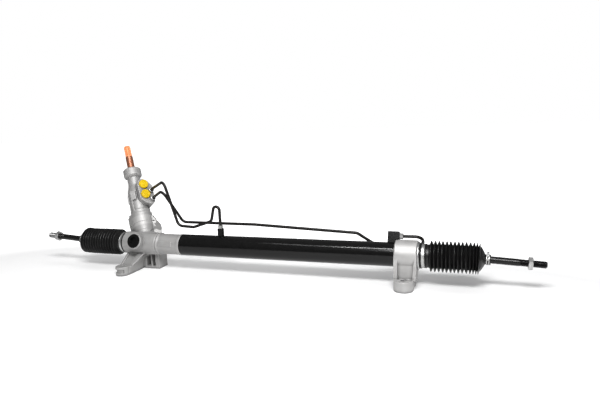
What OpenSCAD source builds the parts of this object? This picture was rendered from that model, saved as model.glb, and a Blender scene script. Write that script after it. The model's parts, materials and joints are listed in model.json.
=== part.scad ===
// Hydraulic power steering gear: a rack and pinion in a die-cast housing, with a rotary
// valve tower, a steel cylinder tube, two boots and two inner tie rods.
// Row frame: the origin is the centre of the right mounting bolt hole, on the mounting
// plane. X runs along the rack, Y points to the back of the gear and Z points up.

/* [Rack axis and mounting] */
// Height of the rack axis above the mounting plane
axis_h = 64; // [60:1:72]
// Distance of the right mounting bolt in front of the rack axis
bolt_out = 34; // [33:1:40]
// Distance from the right mounting bolt to the pinion
pinion_dist = 636; // [600:2:660]
// Diameter of the mounting bolt holes
mount_hole_d = 14; // [12:0.5:15]
// Diameter of the right mounting boss
boss_d = 40; // [36:1:46]
// Height of the right mounting boss
boss_h = 21; // [16:1:26]

/* [Rack] */
// Diameter of the rack bar
rack_d = 26; // [25:0.5:28]
// Rack travel to each side of the middle
travel = 70; // [55:1:74]
// Offset of the drawn rack to the left of its middle place
rack_shift = 4; // [0:0.5:5]
// Normal module of the rack and pinion teeth
tooth_m = 2; // [1.9:0.05:2.1]
// Number of slots between the rack's teeth
rack_slots = 27; // [25:1:29]

/* [Pinion and valve tower] */
// Number of teeth on the pinion
pinion_teeth = 8; // [8:1:8]
// Width of the pinion's teeth
pinion_w = 32; // [26:1:34]
// Lean of the tower to the back
lean_back = 20; // [12:1:24]
// Lean of the tower to the left
lean_left = 21.5; // [15:0.5:24]
// Diameter of the rotary valve's bore
valve_bore_d = 33; // [31:0.5:34]
// Diameter of the input shaft
shaft_d = 18; // [16:0.5:19]
// Diameter of the input shaft's splines
spline_d = 16.5; // [14:0.5:17]
// Diameter of the collar at the tower's top
collar_d = 44; // [40:1:48]

/* [Cylinder] */
// Outer diameter of the cylinder tube
tube_d = 50; // [48:0.5:52]
// Wall of the cylinder tube
tube_wall = 3; // [2:0.25:3.5]
// Thickness of the piston
piston_w = 22; // [16:1:28]
// Width of the right bracket's ring
ring_w = 46; // [40:1:52]
// Wall of the right bracket's ring
ring_wall = 6; // [4.5:0.5:7]

/* [Boots and tie rods] */
// Length of a boot from its big clamp to its small end, with the rack in its middle
boot_len = 119; // [112:1:124]
// Number of folds in a boot
folds = 14; // [12:1:15]
// Outer diameter of a boot's folds
fold_d = 62; // [58:1:64]
// Wall of a boot
boot_wall = 1.6; // [1.2:0.1:2]
// Diameter of a tie rod's thread
thread_d = 14; // [12:1:15]
// Length of a tie rod's thread
thread_l = 52; // [40:1:60]
// Length of a tie rod outside its boot
rod_out = 110.5; // [95:0.5:125]
// Width of a lock nut across its flats
nut_af = 22; // [20:1:24]
// Droop of the right tie rod
droop_right = 2.9; // [0:0.1:5]
// Rise of the left tie rod
rise_left = 4; // [0:0.1:5]

/* [Pipes] */
// Diameter of the steel pipes
pipe_d = 6; // [5:0.25:7]
// Bend radius of the steel pipes, on their centre line
pipe_bend = 14; // [12:0.5:15]

/* [Hidden] */

// Clearances: a running fit, a loose gap, and a seat of a soft piece
run_gap = 0.05;
ball_gap = 0.2;
// Bends are a hair thicker than the straight runs, which reach a little into them
bend_grow = 0.08;
run_in = 0.5;
gap = 0.3;
facets = 64;
$fn = facets;

cast_grey = [0.74, 0.74, 0.72];
steel_grey = [0.66, 0.67, 0.69];
zinc = [0.8, 0.81, 0.82];
gloss_black = [0.04, 0.04, 0.045];
soft_black = [0.06, 0.06, 0.065];
copper = [0.8, 0.45, 0.28];
cap_yellow = [0.95, 0.8, 0.08];
nylon = [0.88, 0.86, 0.78];

tube_r = tube_d / 2;
bore_r = tube_r - tube_wall;
rack_r = rack_d / 2;
valve_r = valve_bore_d / 2;
shaft_r = shaft_d / 2;
spline_r = spline_d / 2;
rod_r = thread_d / 2;
mount_hole_r = mount_hole_d / 2;

// Places along the rack axis, from the right mounting bolt
pinion_x = -pinion_dist;
tube_x1 = 27;
ring_x = 2.7;
retainer_w = 3;
lip_w = 3;
band_w = 7;
right_end_x = tube_x1 + retainer_w + lip_w;
shoulder_x = pinion_x + 53;
sleeve_x1 = pinion_x + 113;
left_end_x = pinion_x - 47;
mid_x = (left_end_x + right_end_x) / 2;
rack_x = mid_x - rack_shift;
half_span = (right_end_x - left_end_x) / 2;
left_port_x = pinion_x + 212.5;
right_port_x = -25.5;
piston_x = (left_port_x + right_port_x) / 2 - rack_shift;

// Rack and pinion: the pinion is corrected outwards by half a module, and the rack's
// teeth lie along the pinion's axis
press_angle = 20;
backlash = 0.16;
correction = 0.5;
pitch_r = tooth_m * pinion_teeth / 2;
base_r = pitch_r * cos(press_angle);
pinion_tip_r = pitch_r + 1.2 * tooth_m;
pinion_root_r = pitch_r - 0.8 * tooth_m;
tooth_flat = rack_r * 0.73;
ref_dist = pitch_r + correction * tooth_m;
pinion_off = tooth_flat + ref_dist - tooth_m;
slot_depth = 1.87 * tooth_m;
slot_pitch = PI * tooth_m / cos(lean_left);

// Heights along the pinion's axis, from the rack's level
needle_s0 = -25.5;
needle_s1 = -17;
blind_s = -27;
journal_r = 5.5;
needle_r = 9;
ball_s0 = 20;
ball_s1 = 32;
ball_race_r = 20;
pinion_neck_r = 8.5;
joint_s = 53;
flange_s1 = 77;
step_body_s = 86;
cone_s0 = 138;
cone_s1 = 156;
bore_top_s = 142;
collar_s0 = 180;
collar_s1 = 202;
step_s = 238;
tip_s = 268;
boss_r = 24;
valve_body_r = valve_r + 4.6;
neck_r = 15.3;
rib_reach = 24.5;
spigot_r = ball_race_r;
head_s0 = 60;
head_s1 = 72;
sleeve_s1 = 136;
sleeve_bore_r = 10;
left_ear = 28;
right_ear = 28;
right_ear_dir = 62;
lug_dir = 35;
lug_reach = 42;
right_ear_s = 65;
ear_bolt_r = 4;
pad_s0 = 112;
pad_s1 = 135;

// Port block of the tower: it faces the front right
port_dir = 55;
port_face = 36;
cap_q = 6.3;
cap_s = [144, 117.5];
cap_r = 11.2;
nut_q = 22.3;
nut_s = [126, 104];
fitting_af = 11;
fitting_l = 7.5;

cap_bore_r = 8;
cap_h = 6;
nut_depth = 7;

// Ports on the cylinder tube
port_hole_r = 2.5;
left_port_y = 4;
left_port_z = 41.5;
right_port_w = 23.5;
right_port_dir = 23;
right_port_z = 38.5;
right_nut_y = right_port_z * sin(right_port_dir);
right_nut_z = right_port_z * cos(right_port_dir);

// Bearing, torsion bar and valve details
ball_pitch_r = 14;
ball_bearing_r = 2.9;
torsion_r = 2.8;
torsion_pin_s = 55;
torsion_pin_r = 1.5;
spigot_shaft_r = 7;
ring_t = 3;

// Rack guide, on the other side of the rack from the pinion
guide_r = 15;
pad_t = 1;
spring_z0 = 18.5;
spring_r = 6.5;
wire_r = 1.1;
plug_r = 16;
plug_face = 41;
plug_l = 9;
guide_boss_r = 19.5;

// Housing outlines
barrel_r = tube_r + 2;
sleeve_r = tube_r - 0.8;
shoulder_r = tube_r + 1.4;
neck_bore_r = rack_r + 2;
spigot_l = 24;
boot_seat_r = tube_r - 3.6;
seat_l = band_w + 1;
stop_x = right_end_x - 9.2;
socket_r = bore_r - 4;
seal_pocket_r = bore_r - 3;
pinion_seal_r = 15;
input_bearing_r = 12;
shaft_seal_r = 15;

// Boots, ball joints and tie rods
ball_in = 30;
ball_r = 12;
ball_seat_r = 14.5;
socket_back = 32;
socket_front = 14;
half_ball = half_span + band_w + boot_len - ball_in;
rack_half = half_ball - socket_back;
rod_neck_r = 6.6;
rod_shank_r = rod_r + 0.35;
rod_tip = ball_in + rod_out;
nut_back = 33.4;
nut_l = 8.5;
cuff_r = boot_seat_r + gap + boot_wall;
lip_r = tube_r + 1.4;
valley_r = fold_d / 2 - 7.2;
small_end_r = rod_shank_r + gap + boot_wall;
band_t = 0.8;
ear_inset = 0.5;
lug_split = 0.6;
clip_w = 7;
cone_l = 10;
fold_x0 = 8;

module placed() {
    translate([0, bolt_out, axis_h])
        children();
}

// Turns a profile of [radius, place] points about the rack axis
module turned_x(points) {
    rotate([0, 90, 0])
        rotate_extrude()
            polygon(points);
}

module rod_x(x, r, l) {
    translate([x, 0, 0])
        rotate([0, 90, 0])
            cylinder(r = r, h = l);
}

// Frame of the rack's teeth: leaned back, with the pinion at +Y and the guide at -Y
module at_rack_face() {
    translate([pinion_x, 0, 0])
        rotate([-lean_back, 0, 0])
            children();
}

// Frame of the pinion and the tower: Z is the pinion's axis
module at_pinion() {
    at_rack_face()
        translate([0, pinion_off, 0])
            rotate([0, -lean_left, 0])
                children();
}

// Frame of the rack guide: Z points out of the guide's bore
module at_guide() {
    at_rack_face()
        rotate([90, 0, 0])
            children();
}

// Frame of the port face: Z points out of the ports, Y along the tower
module at_port(s, q, d) {
    at_pinion()
        rotate([0, 0, port_dir])
            translate([q, -d, s])
                rotate([90, 0, 0])
                    children();
}

module hex_prism(af, h) {
    cylinder(r = af / sqrt(3), h = h, $fn = 6);
}

// A nut with both faces chamfered
module chamfered_hex(af, h, chamfer) {
    corner_r = af / sqrt(3);
    intersection() {
        hex_prism(af, h);
        rotate_extrude()
            polygon([
                [0, 0], [corner_r - chamfer * 1.6, 0], [corner_r, chamfer],
                [corner_r, h - chamfer], [corner_r - chamfer * 1.6, h], [0, h]
            ]);
    }
}

module ring(r1, r0, h) {
    difference() {
        cylinder(r = r1, h = h);
        translate([0, 0, -1])
            cylinder(r = r0, h = h + 2);
    }
}

// Bent pipe: straight runs joined by round bends at the listed corners
function unit(v) = v / norm(v);
function turn_of(a, b, c) = acos(unit(b - a) * unit(c - b));
function trim(p, i, bend) = (i == 0 || i == len(p) - 1)
    ? 0
    : bend * tan(turn_of(p[i - 1], p[i], p[i + 1]) / 2) - run_in;

module along(a, b, r) {
    d = unit(b - a);
    side = unit(cross(d, abs(d[2]) < 0.9 ? [0, 0, 1] : [1, 0, 0]));
    other = cross(d, side);
    multmatrix([
        [side[0], other[0], d[0], a[0]],
        [side[1], other[1], d[1], a[1]],
        [side[2], other[2], d[2], a[2]],
        [0, 0, 0, 1]
    ])
        cylinder(r = r, h = norm(b - a), $fn = 24);
}

module bend_at(a, b, c, r, bend) {
    u = unit(b - a);
    v = unit(c - b);
    turn = acos(u * v);
    centre = b + unit(v - u) * bend / cos(turn / 2);
    ex = unit(b - u * bend * tan(turn / 2) - centre);
    ez = cross(ex, u);
    multmatrix([
        [ex[0], u[0], ez[0], centre[0]],
        [ex[1], u[1], ez[1], centre[1]],
        [ex[2], u[2], ez[2], centre[2]],
        [0, 0, 0, 1]
    ])
        rotate_extrude(angle = turn, $fn = facets)
            translate([bend, 0])
                circle(r + bend_grow, $fn = 24);
}

module bent_pipe(corners, r, bends) {
    middle = (corners[0] + corners[len(corners) - 1]) / 2;
    p = [for (corner = corners) corner - middle];
    translate(middle) {
        for (i = [0 : len(p) - 2]) {
            d = unit(p[i + 1] - p[i]);
            along(p[i] + d * trim(p, i, bends[i]), p[i + 1] - d * trim(p, i + 1, bends[i + 1]), r);
        }
        for (i = [1 : len(p) - 2])
            bend_at(p[i - 1], p[i], p[i + 1], r, bends[i]);
    }
}

// Die-cast housing: barrel, pinion boss, guide boss, sleeve and the left mounting
barrel_points = [
    [0, left_end_x - seat_l], [boot_seat_r - 1, left_end_x - seat_l],
    [boot_seat_r, left_end_x - seat_l + 1], [boot_seat_r, left_end_x + lip_w + 0.6],
    [barrel_r - 1.5, left_end_x + lip_w + 0.6], [barrel_r, left_end_x + lip_w + 2],
    [barrel_r, shoulder_x - 14],
    [shoulder_r, shoulder_x - 10], [shoulder_r, shoulder_x - 6],
    [shoulder_r - 1.4, shoulder_x - 5], [shoulder_r - 1.4, shoulder_x - 4],
    [shoulder_r, shoulder_x - 3], [shoulder_r, shoulder_x],
    [sleeve_r, shoulder_x + 2], [sleeve_r, sleeve_x1 - 8],
    [sleeve_r + 0.9, sleeve_x1 - 7], [sleeve_r + 0.9, sleeve_x1],
    [bore_r, sleeve_x1], [bore_r, sleeve_x1 + spigot_l], [0, sleeve_x1 + spigot_l]
];

foot_x = pinion_x - 22;
foot_y = -57;
foot_h = 21;
foot_r = 17;
arm_x0 = pinion_x - 36;
block_x0 = pinion_x + 3;
block_x1 = pinion_x + 40;
block_y0 = 1;
block_y1 = 36;

module foot_outline(grow) {
    translate([foot_x, foot_y])
        circle(foot_r + grow);
}

// Arm from the barrel down to the foot: a side profile, narrowed towards the foot
module mounting_arm() {
    difference() {
        intersection() {
            translate([arm_x0, 0, 0])
                rotate([90, 0, 90])
                    linear_extrude(60)
                        polygon([
                            [10, -axis_h], [10, -12], [-16, -21], [-48, -axis_h + foot_h],
                            [foot_y, -axis_h + foot_h], [foot_y, -axis_h]
                        ]);
            translate([pinion_x, 0, 0])
                rotate([90, 0, 0])
                    translate([0, 0, -20])
                        linear_extrude(120)
                            polygon([
                                [-36, -axis_h], [-36, 0], [12, 0], [12, -22],
                                [-1, -axis_h + foot_h], [-5, -axis_h]
                            ]);
        }
        // Trough in the arm's top
        translate([arm_x0 + 6, -46, -axis_h + foot_h])
            rotate([34.5, 0, 0])
                translate([0, 0, -1.5])
                    cube([22, 34, 12]);
    }
}

module left_mounting() {
    mounting_arm();
    translate([0, 0, -axis_h])
        linear_extrude(foot_h)
            foot_outline(0);
    // Rear block, with two pockets beside a thin rib
    difference() {
        translate([block_x0 - 6, block_y0, -axis_h])
            cube([block_x1 - block_x0 + 6, block_y1 - block_y0, axis_h - 8]);
        for (x = [[block_x0 + 1, 13], [block_x0 + 17, 9]])
            translate([x[0], block_y0 - 1, -axis_h + 6])
                cube([x[1], 17, axis_h - 22]);
    }
}

module foot_pocket() {
    // Waist round the foot's front and left side
    translate([0, 0, -axis_h + 6.5])
        linear_extrude(foot_h - 12.5)
            difference() {
                translate([foot_x - 30, foot_y - 30])
                    square([42, 32]);
                foot_outline(-3);
            }
}

module rack_housing() {
    color(cast_grey)
        placed()
            difference() {
                union() {
                    turned_x(barrel_points);
                    difference() {
                        at_pinion()
                            housing_boss();
                        // Room for the left boot's lip under the flange's ear
                        rod_x(left_end_x - 20, lip_r + 1, 20 + lip_w + 1.2);
                    }
                    at_guide()
                        guide_boss();
                    left_mounting();
                    sleeve_pad();
                }
                housing_bores();
                foot_pocket();
                translate([foot_x, foot_y, -axis_h - 1])
                    cylinder(r = mount_hole_r - 1, h = axis_h);
                translate([(block_x0 + block_x1) / 2, 26, -axis_h - 1])
                    cylinder(r = 5.1, h = 25);
            }
}

module housing_boss() {
    translate([0, 0, blind_s - 4])
        cylinder(r = needle_r + 4, h = -blind_s);
    translate([0, 0, -12])
        cylinder(r = boss_r, h = joint_s + 12);
    flange_outline(joint_s - 20, 20, 0.4);
    side_lug([
        [0, 10], [lug_reach - 4, 10], [lug_reach, 26], [lug_reach - 1, 40],
        [lug_reach - 6, joint_s - 4], [lug_reach - 9, joint_s - lug_split],
        [0, joint_s - lug_split]
    ]);
}

// Smooth cast lug on the right of the pinion, across the joint
module side_lug(points) {
    rotate([0, 0, lug_dir])
        translate([0, 6, 0])
            rotate([90, 0, 0])
                linear_extrude(17)
                    polygon(points);
}

// Flange of a disc and two ears, whose sides run just inside both circles
module ear_outline(reach, r) {
    r1 = boss_r + 1 - ear_inset;
    r2 = r - ear_inset;
    lean = (r1 - r2) / reach;
    side = sqrt(1 - lean * lean);
    translate([reach, 0])
        circle(r);
    polygon([
        [r1 * lean, -r1 * side], [reach + r2 * lean, -r2 * side],
        [reach + r2 * lean, r2 * side], [r1 * lean, r1 * side]
    ]);
}

module flange_outline(s, h, inset) {
    translate([0, 0, s])
        linear_extrude(h)
            union() {
                circle(boss_r + 1 - inset);
                rotate(180)
                    ear_outline(left_ear, 9.5 - inset);
                rotate(right_ear_dir)
                    ear_outline(right_ear, 10 - inset);
            }
}

module guide_boss() {
    cylinder(r = guide_boss_r, h = plug_face - 1.5);
}

// Long raised pad on the sleeve's front
module sleeve_pad() {
    rotate([-14, 0, 0])
        translate([shoulder_x + 6, -sleeve_r - 0.8, -6])
            cube([34, 6, 12]);
}

module housing_bores() {
    rod_x(left_end_x - seat_l - 1, neck_bore_r, sleeve_x1 - left_end_x + 60);
    rod_x(left_end_x - seat_l - 1, socket_r + 2, right_end_x + seat_l - stop_x + 1);
    rod_x(sleeve_x1 + spigot_l - 14, seal_pocket_r, 20);
    at_guide() {
        cylinder(r = guide_r + run_gap, h = plug_face);
        translate([0, 0, plug_face - plug_l])
            cylinder(r = plug_r, h = plug_l + 10);
    }
    at_pinion() {
        translate([0, 0, blind_s])
            cylinder(r = needle_r, h = ball_s0 - blind_s);
        translate([0, 0, -pinion_w / 2 - 1])
            cylinder(r = pinion_tip_r + 0.6, h = ball_s0 + pinion_w / 2 + 1);
        translate([0, 0, ball_s0])
            cylinder(r = ball_race_r, h = joint_s);
        bolt_holes(joint_s - 24, 30, ear_bolt_r - 0.7);
    }
}

module bolt_holes(s, h, r) {
    translate([-left_ear, 0, s])
        cylinder(r = r, h = h);
    rotate([0, 0, right_ear_dir])
        translate([right_ear, 0, s])
            cylinder(r = r, h = h);
}

// Rotary valve tower
module valve_housing() {
    color(cast_grey)
        placed()
            at_pinion()
                difference() {
                    union() {
                        tower_body();
                        port_block();
                    }
                    tower_bores();
                }
}

module tower_body() {
    difference() {
        flange_outline(joint_s, flange_s1 - joint_s, 0);
        rotate([0, 0, right_ear_dir])
            translate([boss_r - 2, -20, right_ear_s])
                cube([33, 40, flange_s1]);
    }
    side_lug([
        [0, joint_s + lug_split], [lug_reach - 9, joint_s + lug_split],
        [boss_r + 3, joint_s + 8],
        [boss_r + 1, joint_s + 14], [0, joint_s + 14]
    ]);
    translate([0, 0, ball_s1])
        cylinder(r = spigot_r - run_gap, h = joint_s - ball_s1);
    // Body, cone, neck and collar in one turned form
    rotate_extrude()
        polygon([
            [0, joint_s], [boss_r + 0.5, joint_s], [boss_r, step_body_s - 1],
            [boss_r - 1, step_body_s], [valve_body_r, step_body_s], [valve_body_r, cone_s0],
            [neck_r, cone_s1], [neck_r, collar_s0 - 4], [collar_d / 2 - 1.5, collar_s0],
            [collar_d / 2, collar_s0 + 2], [collar_d / 2, collar_s1 - 3],
            [collar_d / 2 - 3, collar_s1], [0, collar_s1]
        ]);
    // Flat left side of the casting, ending in a ridge at the front
    translate([0, 0, step_body_s - 2])
        linear_extrude(pad_s1 - 2 - step_body_s)
            polygon([
                [-0.5, -15], [-0.5, -rib_reach], [-4, -rib_reach], [-17.5, -14.5],
                [-19, -6], [-15, 4]
            ]);
    for (a = [-52, 128])
        rotate([0, 0, a])
            tower_rib();
    // Rectangular pad at the body's front
    rotate([0, 0, 12])
        translate([-8, -rib_reach - 1, pad_s0])
            cube([13, rib_reach, pad_s1 - pad_s0]);
}

module tower_rib() {
    translate([4, 0, 0])
        rotate([90, 0, -90])
            linear_extrude(8)
                polygon([
                    [0, flange_s1], [boss_r, flange_s1], [valve_body_r + 1.5, pad_s0 - 4],
                    [rib_reach, pad_s0], [rib_reach, pad_s1 - 8],
                    [neck_r + 1.5, cone_s1 + 6], [neck_r + 0.5, collar_s0], [0, collar_s0]
                ]);
}

// Block of the four ports: [across, along] outline of its face
port_outline = [
    [-8, 112], [-8, 146], [-3, 156], [6, 160], [16, 156], [29, 141],
    [29, 98], [24, 92], [14, 91.5], [4, 96.5], [-4, 103.5]
];

module port_block() {
    rotate([0, 0, port_dir])
        rotate([90, 0, 0])
            linear_extrude(port_face)
                polygon(port_outline);
}

module tower_bores() {
    translate([0, 0, ball_s1 - 1])
        cylinder(r = pinion_neck_r + 1.2, h = joint_s - ball_s1 + 40);
    translate([0, 0, joint_s - 12])
        cylinder(r = pinion_seal_r, h = 9);
    translate([0, 0, joint_s - 5.5])
        ring(spigot_r + 1, spigot_r - 2, 2.5);
    translate([0, 0, joint_s + 6])
        cylinder(r = valve_r, h = bore_top_s - 6 - joint_s);
    translate([0, 0, bore_top_s - 1])
        cylinder(r = shaft_r + 1.5, h = 90);
    translate([0, 0, cone_s1 - 4])
        cylinder(r = input_bearing_r, h = 20);
    translate([0, 0, collar_s1 - 15])
        cylinder(r = shaft_seal_r, h = 30);
    bolt_holes(joint_s - 1, 40, ear_bolt_r + 0.3);
    // Spot faces beside the body for the bolts' heads
    translate([-left_ear, 0, flange_s1])
        cylinder(r = 8.5, h = 40);
    rotate([0, 0, right_ear_dir])
        translate([right_ear, 0, right_ear_s])
            cylinder(r = 8.5, h = 40);
    // Port bores, behind the caps and the pipe nuts
    rotate([0, 0, port_dir])
        rotate([90, 0, 0]) {
            for (s = cap_s)
                translate([cap_q, s, 0])
                    cylinder(r = cap_bore_r, h = port_face + 1);
            for (s = nut_s)
                translate([nut_q, s, 8])
                    cylinder(r = pipe_d / 2 - 0.4, h = port_face);
            for (s = nut_s)
                translate([nut_q, s, port_face - nut_depth])
                    cylinder(r = fitting_af / 2 - 1, h = nut_depth + 1);
        }
}

module flange_bolts() {
    color(zinc)
        placed()
            at_pinion() {
                translate([-left_ear, 0, flange_s1])
                    flange_bolt(flange_s1 - joint_s + 20);
                rotate([0, 0, right_ear_dir])
                    translate([right_ear, 0, right_ear_s])
                        flange_bolt(right_ear_s - joint_s + 20);
            }
}

module flange_bolt(reach) {
    translate([0, 0, -reach])
        cylinder(r = ear_bolt_r - 0.7, h = reach);
    cylinder(r = 8, h = 1.6);
    translate([0, 0, 1.6])
        chamfered_hex(12, 5.4, 0.8);
}

module flange_o_ring() {
    color(soft_black)
        placed()
            at_pinion()
                translate([0, 0, joint_s - 5.5])
                    ring(spigot_r, spigot_r - 2, 2.5);
}

module pinion_seal() {
    color(soft_black)
        placed()
            at_pinion()
                translate([0, 0, joint_s - 9])
                    ring(pinion_seal_r, pinion_neck_r + gap, 6);
}

module input_bearing() {
    color(steel_grey)
        placed()
            at_pinion()
                translate([0, 0, cone_s1 - 4])
                    ring(input_bearing_r, shaft_r + run_gap, 18);
}

module shaft_seal() {
    color(soft_black)
        placed()
            at_pinion()
                translate([0, 0, collar_s1 - 15])
                    ring(shaft_seal_r, shaft_r + gap, 12);
}

module port_cap(s) {
    color(cap_yellow)
        placed()
            at_port(s, cap_q, port_face)
                difference() {
                    union() {
                        translate([0, 0, -9])
                            cylinder(r = cap_bore_r, h = 9);
                        rotate_extrude()
                            polygon([
                                [0, 0], [cap_r, 0], [cap_r, cap_h - 1.4],
                                [cap_r - 0.4, cap_h - 0.6], [cap_r - 1.4, cap_h],
                                [0, cap_h]
                            ]);
                    }
                    translate([0, 0, -10])
                        cylinder(r = cap_bore_r - 2, h = 8);
                    translate([0, 0, cap_h - 1])
                        ring(cap_r - 3.4, cap_r - 4.6, 2);
                }
}

module return_cap() {
    port_cap(cap_s[0]);
}

module pressure_cap() {
    port_cap(cap_s[1]);
}

// Flare nut: a hexagon with a round nose, bored for the pipe
module flare_nut(depth) {
    difference() {
        union() {
            chamfered_hex(fitting_af, fitting_l, 0.8);
            translate([0, 0, -depth])
                cylinder(r = fitting_af / 2 - 1, h = depth);
        }
        translate([0, 0, -depth - 1])
            cylinder(r = pipe_d / 2, h = depth + fitting_l + 2);
    }
}

module valve_pipe_nuts() {
    color(zinc)
        placed()
            for (s = nut_s)
                at_port(s, nut_q, port_face)
                    flare_nut(nut_depth);
}

module cylinder_pipe_nuts() {
    color(zinc)
        placed() {
            translate([left_port_x, left_port_y, left_port_z])
                flare_nut(nut_depth);
            rotate([-right_port_dir, 0, 0])
                translate([right_port_x + right_port_w / 2, 0, right_port_z])
                    rotate([0, 90, 0])
                        flare_nut(nut_depth);
        }
}

// Row place of a point on the port face's axes
function leaned(p) = let (
    x = p[0] * cos(lean_left) - p[2] * sin(lean_left),
    y = p[1] + pinion_off,
    z = p[0] * sin(lean_left) + p[2] * cos(lean_left)
) [
    pinion_x + x,
    y * cos(lean_back) + z * sin(lean_back),
    z * cos(lean_back) - y * sin(lean_back)
];
function port_point(s, d) = leaned([
    nut_q * cos(port_dir) + d * sin(port_dir),
    nut_q * sin(port_dir) - d * cos(port_dir),
    s
]);

module left_feed_pipe() {
    color(gloss_black)
        placed()
            bent_pipe(
                [
                    port_point(nut_s[0], port_face - nut_depth),
                    port_point(nut_s[0], port_face + 16),
                    [-566, 2, 151.5],
                    [-541, 14, 42.5], [-498, 11, 41], [-449, 9, 57], [-439, 6, 92],
                    [left_port_x, left_port_y, 92],
                    [left_port_x, left_port_y, left_port_z - nut_depth]
                ],
                pipe_d / 2,
                [0, pipe_bend, pipe_bend, pipe_bend, pipe_bend, pipe_bend, 8.4, 8.4, 0]
            );
}

module right_feed_pipe() {
    color(gloss_black)
        placed()
            bent_pipe(
                [
                    port_point(nut_s[1], port_face - nut_depth),
                    port_point(nut_s[1], port_face + 16),
                    [-577, 10, 127.5],
                    [-541, 36, 47], [-350, 30, 47.5], [-108, 31, 35.5], [-74, 38, 12],
                    [32, 40, 12],
                    [32, right_nut_y, right_nut_z],
                    [right_port_x + right_port_w / 2 - nut_depth, right_nut_y, right_nut_z]
                ],
                pipe_d / 2,
                [0, pipe_bend, pipe_bend, pipe_bend, 60, pipe_bend, pipe_bend, pipe_bend, pipe_bend, 0]
            );
}

// Cylinder: the black tube, its two ports, and what closes its ends
module cylinder_tube() {
    color(gloss_black)
        placed()
            difference() {
                rod_x(sleeve_x1, tube_r, tube_x1 - sleeve_x1);
                rod_x(sleeve_x1 - 1, bore_r, tube_x1 - sleeve_x1 + 2);
                translate([left_port_x, left_port_y, 0])
                    cylinder(r = port_hole_r, h = tube_d);
                rotate([-right_port_dir, 0, 0])
                    translate([right_port_x, 0, 0])
                        cylinder(r = port_hole_r, h = tube_d);
            }
}

module left_cylinder_port() {
    color(gloss_black)
        placed()
            difference() {
                translate([left_port_x, left_port_y, 14])
                    cylinder(r = 7.5, h = left_port_z - 14);
                rod_x(left_port_x - 20, tube_r, 40);
                translate([left_port_x, left_port_y, 0])
                    cylinder(r = port_hole_r, h = left_port_z + 1);
                translate([left_port_x, left_port_y, left_port_z - nut_depth])
                    cylinder(r = fitting_af / 2 - 1, h = nut_depth + 1);
            }
}

module right_cylinder_port() {
    color(gloss_black)
        placed()
            rotate([-right_port_dir, 0, 0])
                difference() {
                    translate([right_port_x - right_port_w / 2, -10, tube_r - 4])
                        cube([right_port_w, 20, right_port_z + 8.5 - tube_r + 4]);
                    rod_x(right_port_x - 20, tube_r, 40);
                    rod_x(ring_x - ring_w / 2 - gap, tube_r + ring_wall + gap, 40);
                    translate([right_port_x, 0, 0])
                        cylinder(r = port_hole_r, h = right_port_z);
                    translate([right_port_x, 0, right_port_z])
                        rotate([0, 90, 0])
                            cylinder(r = port_hole_r, h = right_port_w);
                    translate([right_port_x + right_port_w / 2 - nut_depth, 0, right_port_z])
                        rotate([0, 90, 0])
                            cylinder(r = fitting_af / 2 - 1, h = nut_depth + 1);
                }
}

module end_retainer() {
    color(zinc)
        placed()
            turned_x([
                [socket_r + 2, stop_x], [bore_r, stop_x], [bore_r, tube_x1],
                [tube_r, tube_x1], [tube_r, ring_x + ring_w / 2],
                [tube_r + 2.2, ring_x + ring_w / 2], [tube_r + 2.8, ring_x + ring_w / 2 + 0.6],
                [tube_r + 2.8, tube_x1 + retainer_w - 1],
                [tube_r + 1.8, tube_x1 + retainer_w - 0.4],
                [boot_seat_r, tube_x1 + retainer_w - 0.4],
                [boot_seat_r, right_end_x + seat_l - 1],
                [boot_seat_r - 0.8, right_end_x + seat_l],
                [socket_r + 2, right_end_x + seat_l]
            ]);
}

module rack_bush() {
    color(nylon)
        placed()
            translate([stop_x - 30, 0, 0])
                rotate([0, 90, 0])
                    ring(bore_r, rack_r + run_gap, 30);
}

module right_rack_seal() {
    color(soft_black)
        placed()
            translate([stop_x - 42, 0, 0])
                rotate([0, 90, 0])
                    ring(bore_r, rack_r + gap, 12);
}

module left_rack_seal() {
    color(soft_black)
        placed()
            translate([sleeve_x1 + spigot_l - 14, 0, 0])
                rotate([0, 90, 0])
                    ring(seal_pocket_r, rack_r + gap, 10);
}

module left_seal_holder() {
    color(steel_grey)
        placed()
            translate([sleeve_x1 + spigot_l - 4, 0, 0])
                rotate([0, 90, 0])
                    ring(seal_pocket_r, rack_r + 0.6, 4);
}

// Right mounting: a ring round the tube on a leg with two ribs and a bolt boss
module right_bracket() {
    ring_r = tube_r + ring_wall;
    x0 = ring_x - ring_w / 2;
    x1 = ring_x + ring_w / 2;
    color(cast_grey)
        placed()
            difference() {
                union() {
                    turned_x([
                        [0, x0], [ring_r - 2, x0], [ring_r, x0 + 2],
                        [ring_r, x1 - 2], [ring_r - 2, x1], [0, x1]
                    ]);
                    bracket_leg(x0, x1, ring_r);
                    translate([0, -bolt_out, -axis_h])
                        cylinder(r = boss_d / 2, h = boss_h);
                    translate([-boss_d / 2 + 1, -bolt_out, -axis_h])
                        cube([boss_d - 2, bolt_out, boss_h]);
                }
                rod_x(-ring_w, tube_r, 2 * ring_w);
                translate([0, -bolt_out, -axis_h - 1])
                    cylinder(r = mount_hole_r, h = boss_h + 2);
                translate([0, -bolt_out, -axis_h + boss_h - 1.6])
                    cylinder(r1 = mount_hole_r, r2 = mount_hole_r + 1.7, h = 1.7);
            }
}

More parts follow.
